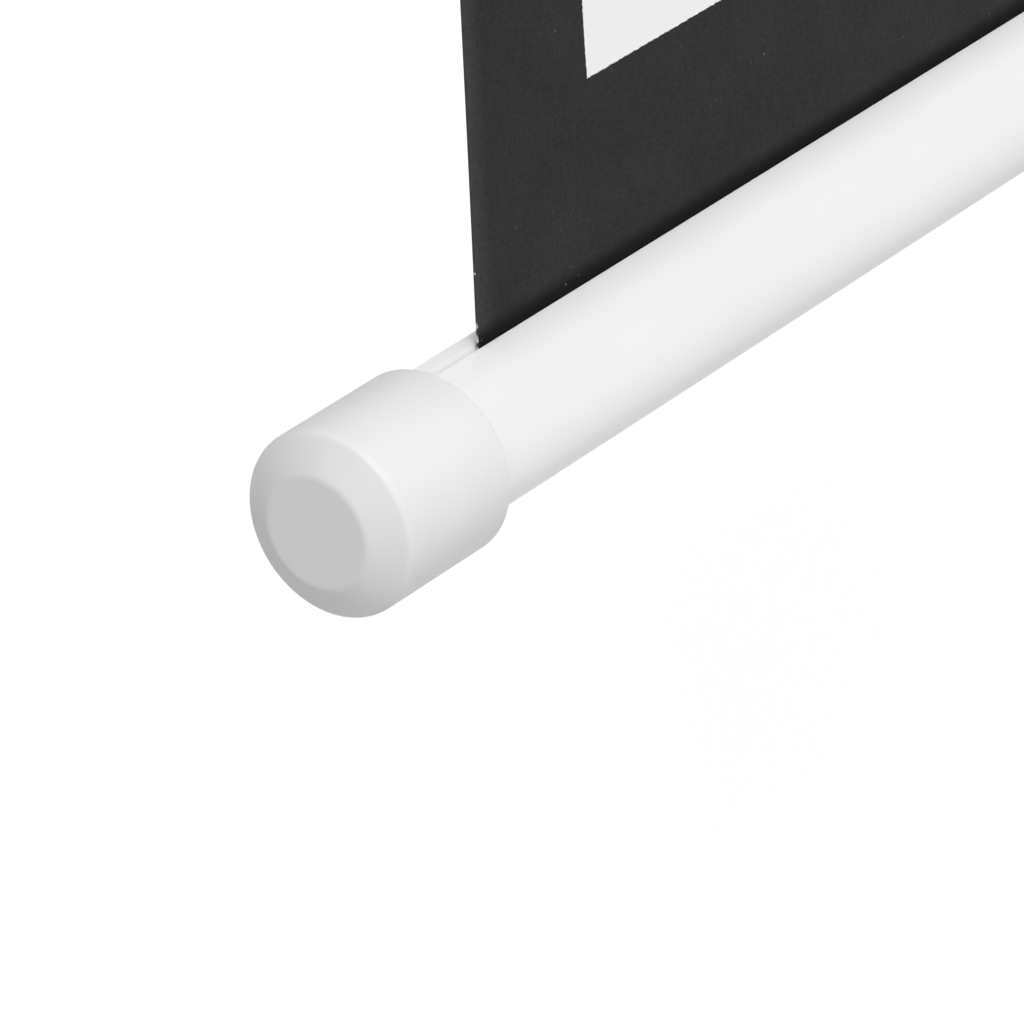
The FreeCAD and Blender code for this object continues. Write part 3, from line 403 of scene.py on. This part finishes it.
# Oiled spring wire: dark and smooth, with a shade between one turn and the next.
# The wave's bands are a tenth of pi apart at a scale of 1
SPRING_WIRE = 2.0
WAVE_BAND = math.pi / 10
TURN_RELIEF, TURN_STRENGTH = 0.8 * MM, 0.8
wire, tree, shader = new_finish("oiled_spring_wire", {"Metallic": 1.0, "Roughness": 0.35})
place = add_node(tree, "ShaderNodeTexCoord").outputs["Object"]
turns = add_node(tree, "ShaderNodeTexWave", {"bands_direction": "X"},
                 {"Vector": place, "Scale": per_mm(SPRING_WIRE) * WAVE_BAND, "Distortion": 0.2})
tone = add_node(tree, "ShaderNodeMix", COLOURS,
                {SHARE: turns.outputs["Fac"], FIRST: linear("#3A3A3C"), SECOND: linear("#8A8A8C")})
relief = add_node(tree, "ShaderNodeBump",
                  inputs={"Strength": TURN_STRENGTH, "Distance": TURN_RELIEF,
                          "Height": turns.outputs["Fac"]})
tree.links.new(tone.outputs[MIXED], shader.inputs["Base Color"])
tree.links.new(relief.outputs["Normal"], shader.inputs["Normal"])
dress(wire, "torsion_spring")


# Roller plugs, bush, spring anchor and hem rod: natural nylon, moulded to shape or drawn to a rod.
# The plugs are pressed into the roller's ends, the bush sits in the right case end,
# the anchor is fixed on the spear, and the rod lies in the cloth's hem.

# Natural nylon: waxy, slightly yellow, and a little light passes into it
NYLON_LOOK = {"Roughness": 0.42, "IOR": 1.53, "Subsurface Weight": 0.15,
              "Subsurface Radius": (1.5 * MM, 1.2 * MM, 0.8 * MM)}
NYLON_FLOW = 9
nylon, tree, shader = new_finish("natural_nylon", NYLON_LOOK)
place = add_node(tree, "ShaderNodeTexCoord").outputs["Object"]
flow = add_node(tree, "ShaderNodeTexNoise",
                inputs={"Vector": place, "Scale": per_mm(NYLON_FLOW), "Detail": 2.0})
tone = add_node(tree, "ShaderNodeMix", COLOURS,
                {SHARE: flow.outputs["Fac"], FIRST: linear("#DDD8CB"), SECOND: linear("#E9E5DA")})
tree.links.new(tone.outputs[MIXED], shader.inputs["Base Color"])
dress(nylon, "drive_plug", "idle_plug", "idle_bush", "spring_anchor", "hem_rod")


# Screen cloth: glass-fibre cloth, half a millimetre thick, coated matt white in front and black behind.
# A black border is printed round the image. The cloth is taped to the roller and hangs down to the bar.
# Cut from the roll, its side edges curl a little towards the viewer.

CLOTH = 0.5 * MM
SIDE_BORDER, TOP_DROP = 35.5 * MM, 36 * MM
CURL_BAND, CURL_MOST, CURL_RISE = 42 * MM, 9 * MM, 260 * MM
CURL_START, CURL_GROWTH = 520 * MM, 400 * MM
half_width = cloth_high[0]
half_image = half_width - SIDE_BORDER
cloth_top, image_foot = cloth_high[2], cloth_low[2]
image_top = case_low[2] - TOP_DROP
bar_low, bar_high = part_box("weight_bar")
bar_top = bar_high[2]


def smooth(share):
    """A share that starts and ends gently."""
    share = limit(share)
    return share * share * (3 - 2 * share)


def curl(x, z):
    """How far the cloth stands forward of its plane: most at its side edges, and nothing at the bar.

    It starts well below the roller, so that the wound-up cloth stays clear of the roller too."""
    edge = max(0.0, (abs(x) - half_width + CURL_BAND) / CURL_BAND)
    rise = 1 - math.exp(-max(0.0, z - bar_top) / CURL_RISE)
    growth = smooth((cloth_top - z - CURL_START) / CURL_GROWTH)
    return CURL_MOST * edge * edge * rise * growth


# Black coating: matt, over a weave that just shows, with lint caught in patches of it. It is paler in
# patches within a few millimetres of the cut edges. Just above the bar it is darker: painted shade, where
# the bar's lips shade the cloth
THREAD_WIDTH, WARP_RUN, WEFT_RUN = 0.6, 5, 2.5
COAT_GRAIN, DUST_PATCH = 0.8, 18
MOTTLE_LOW, MOTTLE_HIGH = 1.5, 2.5
SHADE_FULL, SHADE_HEIGHT, SHADE_RAGGED = 0.8 * MM, 4.6 * MM, 1.6 * MM
PALE_EDGE_BAND = 5 * MM
DUST_FROM, DUST_FULL = 0.52, 0.62
LINT_SPACING, LINT_RARE, LINT_RADIUS = 1.9, 0.72, 0.13
WEAVE_DEPTH, WEAVE_STRENGTH = 0.04 * MM, 0.3
black_cloth, tree, shader = new_finish("black_coated_cloth", {"Roughness": 0.85, "Specular IOR Level": 0.1})
flat = add_node(tree, "ShaderNodeUVMap", {"uv_map": "cut"}).outputs["UV"]
upright = add_node(tree, "ShaderNodeMapping",
                   inputs={"Vector": flat, "Scale": (per_mm(THREAD_WIDTH), per_mm(WARP_RUN), 1.0)})
warp = add_node(tree, "ShaderNodeTexNoise",
                inputs={"Vector": upright.outputs[0], "Scale": 1.0, "Detail": 3.0})
level_way = add_node(tree, "ShaderNodeMapping",
                     inputs={"Vector": flat, "Scale": (per_mm(WEFT_RUN), per_mm(THREAD_WIDTH), 1.0)})
weft = add_node(tree, "ShaderNodeTexNoise",
                inputs={"Vector": level_way.outputs[0], "Scale": 1.0, "Detail": 2.0})
grain = add_node(tree, "ShaderNodeTexNoise",
                 inputs={"Vector": flat, "Scale": per_mm(COAT_GRAIN), "Detail": 4.0})
threads = add_node(tree, "ShaderNodeMath", {"operation": "ADD"},
                   {0: weft.outputs["Fac"], 1: warp.outputs["Fac"]})
weave = add_node(tree, "ShaderNodeMath", {"operation": "ADD"},
                 {0: threads.outputs[0], 1: grain.outputs["Fac"]})
cloud = add_node(tree, "ShaderNodeTexNoise",
                 inputs={"Vector": flat, "Scale": per_mm(DUST_PATCH), "Detail": 3.0})
mottle = add_node(tree, "ShaderNodeMath", {"operation": "ADD"},
                  {0: weave.outputs[0], 1: cloud.outputs["Fac"]})
paler = add_node(tree, "ShaderNodeMapRange",
                 inputs={"Value": mottle.outputs[0], "From Min": MOTTLE_LOW, "From Max": MOTTLE_HIGH})
tone = add_node(tree, "ShaderNodeMix", COLOURS,
                {SHARE: paler.outputs["Result"], FIRST: linear("#292929"), SECOND: linear("#363636")})
axes = add_node(tree, "ShaderNodeSeparateXYZ", inputs={0: flat})
across = add_node(tree, "ShaderNodeMath", {"operation": "ABSOLUTE"}, {0: axes.outputs[0]})
# Paler in patches within a few millimetres of the cut edges
edge_near = add_node(tree, "ShaderNodeMapRange",
               inputs={"Value": across.outputs[0], "From Min": half_width - PALE_EDGE_BAND, "From Max": half_width})
edge_patches = add_node(tree, "ShaderNodeMath", {"operation": "MULTIPLY"},
                {0: edge_near.outputs["Result"], 1: grain.outputs["Fac"]})
edge_paled = add_node(tree, "ShaderNodeMix", COLOURS,
                  {SHARE: edge_patches.outputs[0], FIRST: tone.outputs[MIXED], SECOND: linear("#4C4C4C")})
# Painted shade: a darker band with a ragged top, just above the bar, where the bar's lips shade the cloth
ragged = add_node(tree, "ShaderNodeMath", {"operation": "MULTIPLY_ADD"},
                  {0: grain.outputs["Fac"], 1: -SHADE_RAGGED, 2: axes.outputs[1]})
shade_foot = bar_top - SHADE_RAGGED / 2
bar_shade = add_node(tree, "ShaderNodeMapRange", {"interpolation_type": "SMOOTHSTEP"},
                 {"Value": ragged.outputs[0], "From Min": shade_foot + SHADE_FULL,
                  "From Max": shade_foot + SHADE_HEIGHT, "To Min": 1.0, "To Max": 0.0})
bar_shaded = add_node(tree, "ShaderNodeMix", COLOURS,
                   {SHARE: bar_shade.outputs["Result"], FIRST: edge_paled.outputs[MIXED], SECOND: linear("#141414")})
dusty = add_node(tree, "ShaderNodeMapRange",
                 inputs={"Value": cloud.outputs["Fac"], "From Min": DUST_FROM, "From Max": DUST_FULL})
lint = add_node(tree, "ShaderNodeTexVoronoi", inputs={"Vector": flat, "Scale": per_mm(LINT_SPACING)})
rare = add_node(tree, "ShaderNodeSeparateColor", inputs={0: lint.outputs["Color"]})
chosen = add_node(tree, "ShaderNodeMapRange",
                  inputs={"Value": rare.outputs[0], "From Min": LINT_RARE, "From Max": 1.0})
small = add_node(tree, "ShaderNodeMath", {"operation": "LESS_THAN"},
                 {0: lint.outputs["Distance"], 1: LINT_RADIUS})
fleck = add_node(tree, "ShaderNodeMath", {"operation": "MULTIPLY"},
                 {0: chosen.outputs["Result"], 1: small.outputs[0]})
caught = add_node(tree, "ShaderNodeMath", {"operation": "MULTIPLY"},
                  {0: fleck.outputs[0], 1: dusty.outputs["Result"]})
colour = add_node(tree, "ShaderNodeMix", COLOURS,
                  {SHARE: caught.outputs[0], FIRST: bar_shaded.outputs[MIXED], SECOND: linear("#5C5C5C")})
relief = add_node(tree, "ShaderNodeBump",
                  inputs={"Strength": WEAVE_STRENGTH, "Distance": WEAVE_DEPTH, "Height": weave.outputs[0]})
tree.links.new(colour.outputs[MIXED], shader.inputs["Base Color"])
tree.links.new(relief.outputs["Normal"], shader.inputs["Normal"])

# White coating: matt, embossed by the weave under it.
# The print's edge follows the threads, so it is a little stepped
WHITE_GRAIN, WHITE_DRIFT = 0.6, 40
EMBOSS_DEPTH, EMBOSS_STRENGTH = 0.05 * MM, 0.25
PRINT_STEP, PRINT_REACH = 0.55 * MM, 0.2 * MM
white_cloth, tree, shader = new_finish("white_coated_cloth", {"Roughness": 0.82, "Specular IOR Level": 0.25})
flat = add_node(tree, "ShaderNodeUVMap", {"uv_map": "cut"}).outputs["UV"]
grain = add_node(tree, "ShaderNodeTexNoise",
                 inputs={"Vector": flat, "Scale": per_mm(WHITE_GRAIN), "Detail": 3.0})
drift = add_node(tree, "ShaderNodeTexNoise",
                 inputs={"Vector": flat, "Scale": per_mm(WHITE_DRIFT), "Detail": 2.0})
tone = add_node(tree, "ShaderNodeMix", COLOURS,
                {SHARE: grain.outputs["Fac"], FIRST: linear("#F4F4F4"), SECOND: linear("#F9F9F9")})
pale = add_node(tree, "ShaderNodeMix", {"data_type": "RGBA", "blend_type": "MULTIPLY"},
                {SHARE: drift.outputs["Fac"], FIRST: tone.outputs[MIXED], SECOND: linear("#FAFAFA")})
axes = add_node(tree, "ShaderNodeSeparateXYZ", inputs={0: flat})
across = add_node(tree, "ShaderNodeMath", {"operation": "ABSOLUTE"}, {0: axes.outputs[0]})
inset = add_node(tree, "ShaderNodeMath", {"operation": "SUBTRACT"}, {0: half_image, 1: across.outputs[0]})
above = add_node(tree, "ShaderNodeMath", {"operation": "SUBTRACT"}, {0: axes.outputs[1], 1: image_foot})
edge = add_node(tree, "ShaderNodeMath", {"operation": "MINIMUM"}, {0: inset.outputs[0], 1: above.outputs[0]})
threads = add_node(tree, "ShaderNodeVectorMath", {"operation": "SNAP"},
                   {0: flat, 1: (PRINT_STEP, PRINT_STEP, 1.0)})
step = add_node(tree, "ShaderNodeTexWhiteNoise", {"noise_dimensions": "2D"}, {"Vector": threads.outputs[0]})
reach = add_node(tree, "ShaderNodeMath", {"operation": "MULTIPLY"},
                 {0: step.outputs["Value"], 1: PRINT_REACH})
inked = add_node(tree, "ShaderNodeMath", {"operation": "LESS_THAN"},
                 {0: edge.outputs[0], 1: reach.outputs[0]})
colour = add_node(tree, "ShaderNodeMix", COLOURS,
                  {SHARE: inked.outputs[0], FIRST: pale.outputs[MIXED], SECOND: linear("#3A3A3A")})
relief = add_node(tree, "ShaderNodeBump",
                  inputs={"Strength": EMBOSS_STRENGTH, "Distance": EMBOSS_DEPTH,
                          "Height": grain.outputs["Fac"]})
tree.links.new(colour.outputs[MIXED], shader.inputs["Base Color"])
tree.links.new(relief.outputs["Normal"], shader.inputs["Normal"])

# Cut edge: dark coats with pale glass threads between them, which show where one has come loose.
# It frays most just above the bar, where the cloth is handled
FRAY_SIZE, FRAY_HEIGHT, FRAY_HANDLED = 1.6, 9 * MM, 0.22
FRAY_FROM, FRAY_FULL = 0.68, 0.76
cut_edge, tree, shader = new_finish("cut_cloth_edge", {"Roughness": 0.85})
place = add_node(tree, "ShaderNodeTexCoord").outputs["Object"]
height = add_node(tree, "ShaderNodeSeparateXYZ", inputs={0: place}).outputs["Z"]
handled = add_node(tree, "ShaderNodeMapRange",
                   inputs={"Value": height, "From Min": bar_top, "From Max": bar_top + FRAY_HEIGHT,
                           "To Min": FRAY_HANDLED, "To Max": 0.0})
fray = add_node(tree, "ShaderNodeTexNoise",
                inputs={"Vector": place, "Scale": per_mm(FRAY_SIZE), "Detail": 3.0})
open_threads = add_node(tree, "ShaderNodeMath", {"operation": "ADD"},
                        {0: fray.outputs["Fac"], 1: handled.outputs["Result"]})
loose = add_node(tree, "ShaderNodeMapRange",
                 inputs={"Value": open_threads.outputs[0], "From Min": FRAY_FROM, "From Max": FRAY_FULL})
colour = add_node(tree, "ShaderNodeMix", COLOURS,
                  {SHARE: loose.outputs["Result"], FIRST: linear("#343434"), SECOND: linear("#DCDCDC")})
tree.links.new(colour.outputs[MIXED], shader.inputs["Base Color"])

CLOTH_FINISHES = [black_cloth, white_cloth, cut_edge]
BLACK, WHITE, CUT = 0, 1, 2
CLOTH_SHARP_ANGLE = 60
BORDER_COLUMNS, IMAGE_COLUMNS = 14, 24
TOP_ROWS, IMAGE_ROWS, FOOT_ROWS = 6, 24, 20
FOOT_BAND = 200 * MM


def cloth_piece(name, columns, path, front_finish):
    """A thin closed cloth of columns along X, hung on a path of (forward, z) points from top to foot.

    front_finish(x, z) picks the finish of a front face by the middle of that face. The back is black.
    The UV map named cut lays the cloth out flat, in metres."""
    outward, inward = sheet_sides([Vector((-forward, z)) for forward, z in path], CLOTH)
    rows, points, flat_points = len(path), [], []
    run = [0.0]
    for one, other in zip(path, path[1:]):
        run.append(run[-1] + math.dist(one, other))
    for side in (inward, outward):
        for x in columns:
            for row, spot in enumerate(side):
                z = spot.y
                points.append((x, cloth_y + spot.x - curl(x, z), z))
                flat_points.append((x, path[0][1] - run[row]))
    layer = len(columns) * rows
    faces, kinds = [], []
    for column in range(len(columns) - 1):
        for row in range(rows - 1):
            a, b = column * rows + row, (column + 1) * rows + row
            middle_x = (columns[column] + columns[column + 1]) / 2
            middle_z = path[0][1] - (run[row] + run[row + 1]) / 2
            faces.append((a, a + 1, b + 1, b))
            faces.append((layer + a, layer + b, layer + b + 1, layer + a + 1))
            kinds += [front_finish(middle_x, middle_z), BLACK]
    last = (len(columns) - 1) * rows
    for row in range(rows - 1):
        faces.append((row, layer + row, layer + row + 1, row + 1))
        faces.append((last + row, last + row + 1, layer + last + row + 1, layer + last + row))
        kinds += [CUT, CUT]
    for column in range(len(columns) - 1):
        a, b = column * rows, (column + 1) * rows
        faces.append((a, b, layer + b, layer + a))
        faces.append((a + rows - 1, layer + a + rows - 1, layer + b + rows - 1, b + rows - 1))
        kinds += [BLACK, BLACK]
    piece = add_piece(name, points, faces, CLOTH_FINISHES, CLOTH_SHARP_ANGLE)
    cut = piece.data.uv_layers.new(name="cut")
    for polygon, kind in zip(piece.data.polygons, kinds):
        polygon.material_index = kind
        for corner in polygon.loop_indices:
            cut.data[corner].uv = flat_points[piece.data.loops[corner].vertex_index]
    return piece


def image_or_border(x, z):
    """White between the image's sides and below its top, and black everywhere else."""
    return WHITE if abs(x) < half_image and z < image_top else BLACK


border_columns = spread(half_image, half_width, BORDER_COLUMNS)
columns = [-x for x in border_columns[::-1]]
columns += spread(-half_image, half_image, IMAGE_COLUMNS)[1:-1] + border_columns
rows = spread(cloth_top, image_top, TOP_ROWS)
rows += spread(image_top, image_foot + FOOT_BAND, IMAGE_ROWS)[1:]
rows += spread(image_foot + FOOT_BAND, image_foot, FOOT_ROWS)[1:]
screen_cloth = cloth_piece("screen_cloth", columns, [(0.0, z) for z in rows], image_or_border)
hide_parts("screen_fabric")
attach(screen_cloth, "case")
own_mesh(screen_cloth)


# Lower border: the same cloth, printed black, from the foot of the image into the bar's slot.
# Inside the bar it is turned round a rod and welded to itself, so that the bar hangs on it.
# It starts a hair below the image, so that the two cloths stay clear of each other as the bar moves.

HAIR = 0.01 * MM
SLEEVE_ROOM = 0.1 * MM
HEM_ROWS, HEM_STEPS = 16, 24
rod_low, rod_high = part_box("hem_rod")
rod_z = (rod_low[2] + rod_high[2]) / 2
sleeve = (rod_high[2] - rod_low[2]) / 2 + SLEEVE_ROOM + CLOTH / 2
border_top = image_foot - HAIR
hem_path = [(0.0, z) for z in spread(border_top, rod_z + sleeve, HEM_ROWS)]
for turn in spread(0, 2 * math.pi, HEM_STEPS)[1:-1]:
    hem_path.append((sleeve * math.sin(turn), rod_z + sleeve * math.cos(turn)))
lower_cloth = cloth_piece("lower_border_cloth", columns, hem_path, lambda x, z: BLACK)
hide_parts("fabric_lower_border")
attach(lower_cloth, "bar")


# Safety turns: the last of the cloth stays wound on the roller when the screen is pulled down.
# It is the same cloth, black side out, taped to the roller along its end.

WRAP_TURNS, WRAP_STEPS, WRAP_STATIONS = 1.9, 48, 12
WRAP_ROOM, WRAP_PITCH = 0.06 * MM, 1.04 * CLOTH
roller_low, roller_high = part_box("roller_tube")
roller_y, roller_z = (roller_low[1] + roller_high[1]) / 2, (roller_low[2] + roller_high[2]) / 2
roller_radius = (roller_high[2] - roller_low[2]) / 2
spiral = []
for i in range(int(WRAP_TURNS * WRAP_STEPS) + 1):
    turn = 2 * math.pi * i / WRAP_STEPS
    radius = roller_radius + WRAP_ROOM + CLOTH / 2 + WRAP_PITCH * i / WRAP_STEPS
    spiral.append(Vector((roller_y + radius * math.cos(turn), roller_z + radius * math.sin(turn))))
wound_cloth = extruded_sheet("wound_cloth", *sheet_sides(spiral, CLOTH),
                             spread(-half_width, half_width, WRAP_STATIONS), black_cloth)
cut = wound_cloth.data.uv_layers.new(name="cut")
for loop in wound_cloth.data.loops:
    spot = wound_cloth.data.vertices[loop.vertex_index].co
    cut.data[loop.index].uv = (spot.x, math.atan2(spot.z - roller_z, spot.y - roller_y) * roller_radius)
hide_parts("fabric_wraps")
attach(wound_cloth, "roller")


# Weight bar: a steel tube, 28 mm across, rolled from strip and powder coated white like the case.
# The strip's edges are folded into the tube along its top and leave a narrow slot for the cloth.
# The rear fold is softer than the front one.

BAR_WALL, LIP_WALL = 1.2 * MM, 1.0 * MM
BAR_SLOT, BAR_LIP = 0.6 * MM, 4 * MM
FRONT_ROUND, REAR_ROUND = 0.45 * MM, 1.6 * MM
FOLD_STEPS, BAR_STEPS, BAR_STATIONS = 10, 80, 30
BAR_FOOT = -math.pi / 2
bar_y = (bar_low[1] + bar_high[1]) / 2
bar_radius = (bar_high[1] - bar_low[1]) / 2
bar_z = bar_low[2] + bar_radius
bore = bar_radius - BAR_WALL
lip_foot = bar_radius - BAR_LIP
lip_back = BAR_SLOT / 2 + LIP_WALL
lip_root = math.sqrt(bore ** 2 - lip_back ** 2)


def half_outside(slot_round):
    """Half of the bar's outer face: up its lip, over the lip's fold and round to the foot of the bar."""
    round_y = BAR_SLOT / 2 + slot_round
    round_z = math.sqrt((bar_radius - slot_round) ** 2 - round_y ** 2)
    start = math.atan2(round_z, round_y)
    half = [(BAR_SLOT / 2, lip_foot)]
    for turn in spread(math.pi, start, FOLD_STEPS):
        half.append((round_y + slot_round * math.cos(turn), round_z + slot_round * math.sin(turn)))
    for turn in spread(start, BAR_FOOT, BAR_STEPS)[1:]:
        half.append((bar_radius * math.cos(turn), bar_radius * math.sin(turn)))
    return half


def whole_section(rear, front):
    """Both halves of the bar's section, from the rear lip round the foot to the front lip."""
    mirrored = [(-across, up) for across, up in front[-2::-1]]
    return [Vector((bar_y + across, bar_z + up)) for across, up in rear + mirrored]


inside = [(lip_back, z) for z in spread(lip_foot, lip_root, FOLD_STEPS + 1)]
for turn in spread(math.atan2(lip_root, lip_back), BAR_FOOT, BAR_STEPS)[1:]:
    inside.append((bore * math.cos(turn), bore * math.sin(turn)))
outer_face = whole_section(half_outside(REAR_ROUND), half_outside(FRONT_ROUND))
bar = extruded_sheet("slotted_weight_bar", outer_face, whole_section(inside, inside),
                     spread(bar_low[0], bar_high[0], BAR_STATIONS), powder_coat)
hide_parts("weight_bar")
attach(bar, "bar")


# Bar caps: white ABS mouldings like the case ends, each a cup with a bevelled floor and soft edges.
# They are pushed over the bar's ends, and a hollow plug inside each one goes into the bar.

CAP_BEVEL, CAP_FACE, CAP_FLOOR = 3.8 * MM, 10.3 * MM, 4 * MM
FACE_ROUND, BEVEL_ROUND, RIM_ROUND, INNER_ROUND = 2.8 * MM, 1.8 * MM, 0.7 * MM, 0.2 * MM
CAP_SOCKET, CAP_ROOM = 25 * MM, 0.05 * MM
CAP_PLUG, PLUG_WALL, PLUG_INSET = 9.6 * MM, 1.8 * MM, 6.25 * MM
CAP_ARC_STEPS = 10
for node, facing in (("bar_cap_left", 0), ("bar_cap_right", math.pi)):
    cap_low, cap_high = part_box(node)
    cap_z = (cap_low[2] + cap_high[2]) / 2
    cap_radius = (cap_high[2] - cap_low[2]) / 2
    cap_foot = cap_low[0] - cap_high[0]
    cap_bore = bar_radius + bar_z - cap_z + CAP_ROOM
    cap_rim = cap_low[0] if facing else cap_high[0]
    profile = rounded_path((
        (cap_foot, 0.0),
        (cap_foot, CAP_FACE, FACE_ROUND),
        (cap_foot + CAP_BEVEL, cap_radius, BEVEL_ROUND),
        (0.0, cap_radius, RIM_ROUND),
        (0.0, cap_bore, INNER_ROUND),
        (-CAP_SOCKET, cap_bore, INNER_ROUND),
        (-CAP_SOCKET, CAP_PLUG, INNER_ROUND),
        (-PLUG_INSET, CAP_PLUG, INNER_ROUND),
        (-PLUG_INSET, CAP_PLUG - PLUG_WALL, INNER_ROUND),
        (cap_foot + CAP_FLOOR, CAP_PLUG - PLUG_WALL, INNER_ROUND),
        (cap_foot + CAP_FLOOR, 0.0),
    ), CAP_ARC_STEPS)
    place = Matrix.Translation((cap_rim, bar_y, cap_z)) @ Matrix.Rotation(facing, 4, "Z")
    cap = add_piece(f"{node}_moulding", *turned(profile, place), [moulded])
    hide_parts(node)
    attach(cap, "bar")


# Handle saddle and pull loop: white ABS mouldings too.
# Two pan-head screws hold the saddle under the bar's middle, and the loop hangs from its ears on a pin.

dress(moulded, "handle_saddle", "pull_loop")
saddle_screws = pan_screws("saddle_screws", "handle_screws",
                           shank=1.6 * MM, head_radius=3.0 * MM, head=1.8 * MM, way=DOWN)
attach(saddle_screws, "bar")


# Floor: a pale matt studio floor, well below the screen, which hangs above it.
# It is seen as white, also in mirrors and glass, but it lights the screen no more than a grey floor does,
# and it still takes the screen's shadow.

FLOOR_DROP, FLOOR_HALF = 0.45, 14.0
FLOOR_GLOW = 0.76


def seen_share(tree):
    """1 for the rays that the eye, a mirror or glass sends out, and 0 for those that only carry light."""
    path = add_node(tree, "ShaderNodeLightPath")
    mirrored = add_node(tree, "ShaderNodeMath", {"operation": "MAXIMUM"},
                        {0: path.outputs["Is Glossy Ray"], 1: path.outputs["Is Transmission Ray"]})
    seen = add_node(tree, "ShaderNodeMath", {"operation": "MAXIMUM"},
                    {0: path.outputs["Is Camera Ray"], 1: mirrored.outputs[0]})
    return seen.outputs[0]


pale_floor = bpy.data.materials.new("pale_studio_floor")
pale_floor.use_nodes = True
tree = pale_floor.node_tree
tree.nodes.clear()
glow = add_node(tree, "ShaderNodeMath", {"operation": "MULTIPLY"}, {0: seen_share(tree), 1: FLOOR_GLOW})
matt = add_node(tree, "ShaderNodeBsdfDiffuse", inputs={"Color": linear("#C4C4C4")})
light = add_node(tree, "ShaderNodeEmission", inputs={"Strength": glow.outputs[0]})
both = add_node(tree, "ShaderNodeAddShader", inputs={0: matt.outputs[0], 1: light.outputs[0]})
add_node(tree, "ShaderNodeOutputMaterial", inputs={"Surface": both.outputs[0]})
floor_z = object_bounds()[0][2] - FLOOR_DROP
floor_corners = [(x * FLOOR_HALF, y * FLOOR_HALF, floor_z) for x, y in ((-1, -1), (1, -1), (1, 1), (-1, 1))]
add_piece("studio_floor", floor_corners, [(0, 1, 2, 3)], [pale_floor])


# Light: a bright room with a large soft lamp above the viewer's left shoulder.
# The room is white to the eye, and lights the screen most from the front. A weak lamp fills from behind.

ROOM_LEVEL, BRIGHT_LEVEL = 0.24, 0.96
BRIGHT_SIDE = (0, -1, 0)
KEY_LEVEL, KEY_FROM = 1.56, (-0.4, -0.45, 0.8)
FILL_LEVEL, FILL_FROM = 0.25, (-0.1, 0.5, 0.85)
LAMP_SPREAD = math.radians(18)
world = bpy.data.worlds.new("studio")
bpy.context.scene.world = world
world.use_nodes = True
tree = world.node_tree
tree.nodes.clear()
aim = add_node(tree, "ShaderNodeTexCoord").outputs["Generated"]
lean = add_node(tree, "ShaderNodeVectorMath", {"operation": "DOT_PRODUCT"}, {0: aim, 1: BRIGHT_SIDE})
room = add_node(tree, "ShaderNodeMapRange", inputs={"Value": lean.outputs["Value"], "To Min": ROOM_LEVEL,
                                                    "To Max": ROOM_LEVEL + BRIGHT_LEVEL})
level = add_node(tree, "ShaderNodeMix", {"data_type": "FLOAT"},
                 {"Factor": seen_share(tree), "A": room.outputs["Result"], "B": 1.0})
glow = add_node(tree, "ShaderNodeBackground",
                inputs={"Color": linear("#FFFFFF"), "Strength": level.outputs[0]})
add_node(tree, "ShaderNodeOutputWorld", inputs={"Surface": glow.outputs[0]})

for name, energy, lamp_from in (("soft_key", KEY_LEVEL, KEY_FROM), ("rear_fill", FILL_LEVEL, FILL_FROM)):
    lamp = bpy.data.objects.new(name, bpy.data.lights.new(name, "SUN"))
    lamp.data.energy = energy
    lamp.data.angle = LAMP_SPREAD
    lamp.rotation_euler = Vector(lamp_from).to_track_quat("Z", "Y").to_euler()
    bpy.context.scene.collection.objects.link(lamp)
bpy.context.scene.view_settings.view_transform = "Standard"


# Camera: a long lens, turned to the left of the screen and above the bar, at the photograph's angle.
# Its place is measured from the middle of the left cap's rim, on the bar's axis.

VIEW_TURN = math.radians(-52.619)
VIEW_RISE = math.radians(24.794)
VIEW_ROLL = math.radians(-4.201)
VIEW_FROM = Vector((-927.8, -725.4, 532.7)) * MM
FRAME_PIXELS, FOCUS_PIXELS = 1024, 7701
SENSOR = 36.0
FARTHEST = 200
cap_low, cap_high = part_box("bar_cap_left")
rim = Vector((cap_high[0], bar_y, bar_z))
away = Vector((math.sin(VIEW_TURN) * math.cos(VIEW_RISE), -math.cos(VIEW_TURN) * math.cos(VIEW_RISE),
               math.sin(VIEW_RISE)))
level_right = Vector((math.cos(VIEW_TURN), math.sin(VIEW_TURN), 0))
level_up = away.cross(level_right)
right = level_right * math.cos(VIEW_ROLL) + level_up * math.sin(VIEW_ROLL)
up = level_up * math.cos(VIEW_ROLL) - level_right * math.sin(VIEW_ROLL)
camera = bpy.data.objects.new("camera", bpy.data.cameras.new("camera"))
camera.data.sensor_width = SENSOR
camera.data.lens = FOCUS_PIXELS / FRAME_PIXELS * SENSOR
camera.data.clip_end = FARTHEST
camera.matrix_world = Matrix.Translation(rim + VIEW_FROM) @ Matrix((right, up, away)).transposed().to_4x4()
bpy.context.scene.collection.objects.link(camera)
bpy.context.scene.camera = camera
